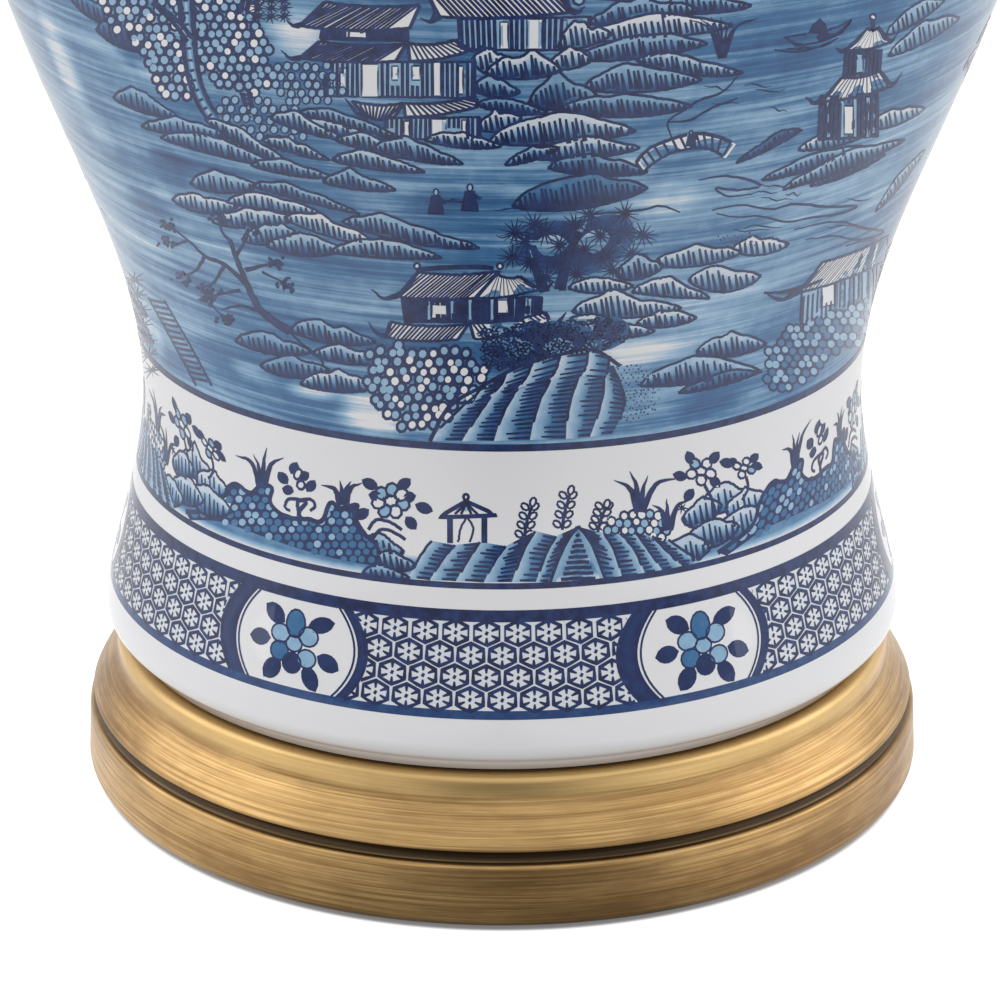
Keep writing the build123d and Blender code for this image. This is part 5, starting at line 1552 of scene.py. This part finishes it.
# ---- Cap, ring and neck --------------------------------------------------------------------
# Spun and turned brass over the jar's mouth, browned and rubbed back like the base.
def turned_brass(name, light, dark, brown, rough):
    def colour(at):
        rubbed = brushed(at).between(0.3, 0.72).blend(dark, light)
        return (browned(at) * 0.7).blend(rubbed, brown)
    return finish(name, colour, {"Metallic": 1.0, "Coat Weight": 0.25, "Coat Roughness": 0.2},
                  lambda at: brushed(at) * 0.12 + browned(at) * 0.1 + rough,
                  (brushed, 0.00004))


cap_brass = turned_brass("antique_brass_cap", rgb(222, 188, 134), rgb(190, 152, 100),
                         rgb(134, 98, 60), 0.26)
for name in ("vase_cap", "check_ring", "neck_spool", "finial"):
    wear(nodes[name], cap_brass)

# ---- Harp ----------------------------------------------------------------------------------
# Steel wire and strip, brass plated: a saddle under the socket, a bow that drops on its ears,
# two sleeves that lock it and a swivel on top for the shade.
harp_brass = turned_brass("harp_brass", rgb(226, 196, 142), rgb(200, 164, 108),
                          rgb(160, 122, 78), 0.24)
for name in ("harp_saddle", "harp_bow", "harp_ferrule_left", "harp_ferrule_right", "harp_stud"):
    wear(nodes[name], harp_brass)

# ---- Socket --------------------------------------------------------------------------------
# A drawn brass cap and shell, lined with card, round a black moulding that carries the screws,
# the aluminium screw shell and the sprung contact.
socket_brass = turned_brass("socket_brass", rgb(232, 202, 144), rgb(208, 172, 110),
                            rgb(176, 138, 86), 0.2)
for name in ("socket_cap", "socket_shell"):
    wear(nodes[name], socket_brass)
wear(nodes["socket_liner"], finish(
    "liner_card", lambda at: at.stretched(200, 200, 40).cloud(1, 5).blend(rgb(176, 146, 108),
                                                                          rgb(134, 104, 72)),
    {}, lambda at: at.cloud(400) * 0.1 + 0.8, (lambda at: at.cloud(1500), 0.00006)))
black_moulding = finish(
    "black_moulding", lambda at: at.cloud(120, 5).blend(rgb(26, 25, 25), rgb(44, 40, 38)),
    {}, lambda at: at.cloud(700) * 0.2 + 0.3, (lambda at: at.cloud(1200), 0.00003))
wear(nodes["socket_insulator"], black_moulding)
terminal_brass = turned_brass("terminal_brass", rgb(238, 208, 148), rgb(214, 180, 118),
                              rgb(190, 152, 96), 0.18)
for name in ("terminal_screws", "centre_contact"):
    wear(nodes[name], terminal_brass)
shell_aluminium = plated_steel("shell_aluminium", rgb(212, 213, 214), rgb(180, 181, 184))
wear(nodes["screw_shell"], shell_aluminium)

# ---- Switch key ----------------------------------------------------------------------------
# Black phenolic, moulded and polished, with a flat blade to turn between finger and thumb.
wear(nodes["switch_key"], finish(
    "black_key", lambda at: at.stretched(60, 60, 160).cloud(1, 5).blend(rgb(22, 19, 18),
                                                                        rgb(48, 38, 32)),
    {"Coat Weight": 0.6, "Coat Roughness": 0.1}, lambda at: at.cloud(500) * 0.16 + 0.22,
    (lambda at: at.cloud(900), 0.00002)))

# ---- Bulb ----------------------------------------------------------------------------------
# A pear-shaped glass envelope, frosted inside, in a rolled metal screw cap with a ring of black
# glass and a soldered tip.
bulb_metal = plated_steel("bulb_metal", rgb(206, 206, 204), rgb(168, 168, 166))
for name in ("bulb_tip", "bulb_cap"):
    wear(nodes[name], bulb_metal)
wear(nodes["bulb_seat"], finish(
    "bulb_black_glass", lambda at: at.cloud(200).blend(rgb(18, 18, 20), rgb(34, 33, 36)),
    {}, lambda at: at.cloud(300) * 0.06 + 0.08))
wear(nodes["bulb_glass"], finish(
    "frosted_glass", lambda at: at.cloud(60, 5).blend(rgb(246, 245, 240), rgb(236, 235, 229)),
    {"Transmission Weight": 0.08, "Coat Weight": 0.3, "Coat Roughness": 0.2},
    lambda at: at.cloud(90) * 0.06 + 0.5))

# ---- Shade ---------------------------------------------------------------------------------
# Off-white linen laminated to a white film, rolled into a cone with a lapped seam at the back,
# stiffened by wire rings and edged with folded tape.
shade_low, shade_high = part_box("shade_cloth")
SHADE_Z, SHADE_TOP = shade_low.z * 1000, shade_high.z * 1000
SHADE_R, SHADE_TOP_R = shade_high.x * 1000, 165.0
lean = (SHADE_R - SHADE_TOP_R) / (SHADE_TOP - SHADE_Z)
CLOTH_T = 0.5


def shade_radius(height, inset):
    return SHADE_TOP_R + (SHADE_TOP - height) * lean - inset * math.hypot(1, lean)


def shade_point(turn, height, inset):
    radius = shade_radius(height, inset)
    return (radius * math.sin(turn) / 1000, -radius * math.cos(turn) / 1000, height / 1000)


def cone_sheet(name, columns, rows, low, high, outer, inner, start, end):
    """A closed thin sheet on the shade's cone, from one turn to another."""
    turns = np.linspace(start, end, columns + 1)
    heights = np.linspace(low, high, rows + 1)
    corners = [shade_point(t, z, depth) for depth in (outer, inner) for z in heights
               for t in turns]
    wide, layer = columns + 1, (columns + 1) * (rows + 1)
    faces = []
    for r in range(rows):
        for c in range(columns):
            a = r * wide + c
            faces.append((a, a + 1, a + wide + 1, a + wide))
            faces.append((layer + a, layer + a + wide, layer + a + wide + 1, layer + a + 1))
    for c in range(columns):
        faces.append((c, layer + c, layer + c + 1, c + 1))
        top = rows * wide + c
        faces.append((top, top + 1, layer + top + 1, layer + top))
    for r in range(rows):
        a, b = r * wide, r * wide + columns
        faces.append((a, a + wide, layer + a + wide, layer + a))
        faces.append((b, layer + b, layer + b + wide, b + wide))
    mesh = bpy.data.meshes.new(name)
    mesh.from_pydata(corners, [], faces)
    chart = mesh.uv_layers.new(name="OFBake")
    for loop, spot in zip(mesh.loops, chart.data):
        index = loop.vertex_index % layer
        spot.uv = (index % wide / columns * 0.998 + 0.001,
                   (index // wide) / rows * 0.48 + (0.51 if loop.vertex_index >= layer else 0.01))
    piece = piece_of(name, mesh)
    bpy.ops.object.shade_smooth_by_angle(angle=math.radians(40))
    return piece


def weave(at, across, up):
    """Threads of a plain weave, 0 between them and 1 on their backs, on the unrolled cloth."""
    chart = at.node("ShaderNodeUVMap", {"uv_map": "OFBake"})
    slubs = (chart.stretched(across / 100, up * 0.72, 1).cloud(1, 4)
             + chart.stretched(across * 0.47, up / 50, 1).cloud(1, 4))
    u, v = chart.axis(0), chart.axis(1)
    warp = u.math("SINE", u * (across * ROUND) + slubs * 1.6)
    weft = v.math("SINE", v * (up * ROUND) + slubs * 1.6)
    return (warp * weft * 0.25 + 0.5) + (slubs - 1.0) * 0.55


def linen(name, across, up):
    """Off-white linen, with so many threads across and up the map of its piece."""
    light, dark = rgb(238, 233, 219), rgb(204, 195, 174)
    return finish(name, lambda at: weave(at, across, up).between(0.1, 0.95).blend(dark, light),
                  {"Sheen Weight": 0.3, "Sheen Roughness": 0.4}, 0.9,
                  (lambda at: weave(at, across, up), 0.0003))


ACROSS, UP = 900, 360                     # threads round the shade and up it
SEAM = 0.045                              # half the lap's width, as a turn
cloth = cone_sheet("shade_linen", 300, 24, SHADE_Z + 0.3, SHADE_TOP - 0.3, 0.0, CLOTH_T,
                   -math.pi, math.pi - 0.0008)
wear(cloth, linen("linen", ACROSS, UP))
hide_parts("shade_cloth")
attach(cloth, "shade")
lap = cone_sheet("shade_lap", 6, 24, SHADE_Z + 0.6, SHADE_TOP - 0.6, -0.42, -0.02,
                 math.pi - SEAM, math.pi + SEAM)
wear(lap, linen("linen_lap", round(ACROSS * SEAM * 2 / ROUND), UP))
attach(lap, "shade")
tape = linen("linen_trim", 1500, 40)
TAPE_OVER, TAPE_W, depth = 0.6, 10.0, 4.9
# the tape's way over an edge: how deep in the wall, and how far from the edge
route = [(-TAPE_OVER, TAPE_W), (-TAPE_OVER - 0.12, 5.0), (-TAPE_OVER, 0.4), (-0.3, -0.5),
         (1.2, -0.6), (depth - 1.0, -0.6), (depth + 0.2, -0.5), (depth + 0.4, 0.4),
         (depth + 0.4, 4.2), (depth, 4.2), (depth, -0.1), (-0.1, -0.1), (-0.1, TAPE_W)]
for name, rim, inward in (("shade_top_trim", SHADE_TOP, -1), ("shade_bottom_trim", SHADE_Z, 1)):
    heights = [rim + inward * along for inset, along in route]
    ring_points = [(shade_radius(height, inset), height)
                   for (inset, along), height in zip(route, heights)]
    trim = turned("linen_" + name[6:], millimetres(ring_points), 300)
    bpy.ops.object.shade_smooth_by_angle(angle=math.radians(40))
    chart = trim.data.uv_layers.new(name="OFBake")
    for loop, spot in zip(trim.data.loops, chart.data):
        place = trim.data.vertices[loop.vertex_index].co
        spot.uv = (math.atan2(place.x, -place.y) / ROUND + 0.5,
                   (place.z * 1000 - min(SHADE_Z, rim - 12)) % 60 / 60 * 0.4
                   + (0.5 if place.xy.length * 1000 < 160 else 0.0))
    wear(trim, tape)
    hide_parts(name)
    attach(trim, "shade")
wear(nodes["shade_backing"], finish(
    "shade_film", lambda at: at.cloud(60, 5).blend(rgb(238, 237, 232), rgb(226, 224, 216)),
    {}, lambda at: at.cloud(300) * 0.1 + 0.4, (lambda at: at.cloud(500), 0.00005)))
white_wire = finish(
    "white_wire", lambda at: at.cloud(200, 5).blend(rgb(232, 231, 226), rgb(214, 211, 202)),
    {"Coat Weight": 0.3, "Coat Roughness": 0.2}, lambda at: at.cloud(600) * 0.12 + 0.34,
    (lambda at: at.cloud(900), 0.00005))
for name in ("shade_fitter", "shade_bottom_ring"):
    wear(nodes[name], white_wire)

# ---- Floor and light -----------------------------------------------------------------------
# A white sweep under and behind the lamp, two big soft lamps left and right of it and a soft
# white room, which is dark behind the photographer. The camera sees the sweep nearly white, and
# the brass and the glaze mirror it bright at the sides and behind, and dark in front.
def rays_in(tree):
    """Whether a ray comes straight from the camera, off something glossy or through glass."""
    rays = tree.nodes.new("ShaderNodeLightPath")
    return [Field(rays.outputs[f"Is {kind} Ray"]) for kind in ("Camera", "Glossy", "Transmission")]


bpy.ops.mesh.primitive_plane_add(size=12)
floor = bpy.context.object
floor.name = "floor"
sweep = bpy.data.materials.new("white_sweep")
sweep.use_nodes = True
tree = sweep.node_tree
shader = tree.nodes["Principled BSDF"]
shader.inputs["Base Color"].default_value = (0.62, 0.62, 0.62, 1)
shader.inputs["Roughness"].default_value = 0.9
shader.inputs["Specular IOR Level"].default_value = 0.0
camera_rays, glossy, through = rays_in(tree)
spot = Field(tree.nodes.new("ShaderNodeTexCoord").outputs["Object"])
right, back = spot.axis(0), spot.axis(1)
out = (right * right + back * back).root()
sides = right.math("ABSOLUTE", right).between(-0.01, 0.11) * 0.9
lit = sides.math("MAXIMUM", sides, back.between(-0.3, 0.25))
lit = lit * (1 - out.between(0.16, 0.34) * 0.3)
# Painted contact shadow: the floor's glow for the camera is dimmed right under the base's edge.
clear = out.between(0.0986, 0.1003) * 0.85 + 0.15     # dark only right under the base's edge
MIRRORED = 0.8                            # how much of the sweep shows in what is glossy
seen = (camera_rays + through) * clear * 0.86 + glossy * (lit * MIRRORED)
glow = seen.node("ShaderNodeEmission", {}, {"Color": (1, 1, 1, 1), "Strength": seen})
total = seen.node("ShaderNodeAddShader", {}, {0: Field(shader.outputs[0]), 1: glow})
unlit = seen.node("ShaderNodeEmission", {}, {"Color": (0, 0, 0, 1), "Strength": 0.0})
total = seen.node("ShaderNodeMixShader", {},
                  {0: glossy * (1 - lit) * MIRRORED, 1: total, 2: unlit})
tree.links.new(total.socket, tree.nodes["Material Output"].inputs["Surface"])
wear(floor, sweep)

world = bpy.data.worlds.new("studio")
bpy.context.scene.world = world
world.use_nodes = True
sky = world.node_tree
room = sky.nodes["Background"]
room.inputs["Color"].default_value = (1, 1, 1, 1)
camera_rays, glossy, through = rays_in(sky)
way = Field(sky.nodes.new("ShaderNodeTexCoord").outputs["Generated"])
behind = way.axis(1).between(-0.75, 0.35)
behind = behind.math("MAXIMUM", behind, way.axis(2).between(-0.05, 0.5))
ROOM = 0.80                               # how strongly the room lights the object
MIRROR_LEAST, MIRROR_MORE = 0.3, 0.6      # what is glossy mirrors it less, and most behind
sky.links.new((camera_rays * (1 - ROOM) + through * (1 - ROOM)
               + glossy * (behind * MIRROR_MORE - (ROOM - MIRROR_LEAST)) + ROOM).socket,
              room.inputs["Strength"])

for side in (-1, 1):
    bpy.ops.object.light_add(type="AREA", location=(1.9 * side, 0.0, 0.9))
    lamp = bpy.context.object
    lamp.data.shape = "RECTANGLE"
    lamp.data.size = lamp.data.size_y = 1.8
    lamp.data.energy = 11.5
    towards = Vector((0, 0, 0.25)) - lamp.location
    lamp.rotation_euler = towards.to_track_quat("-Z", "Y").to_euler()
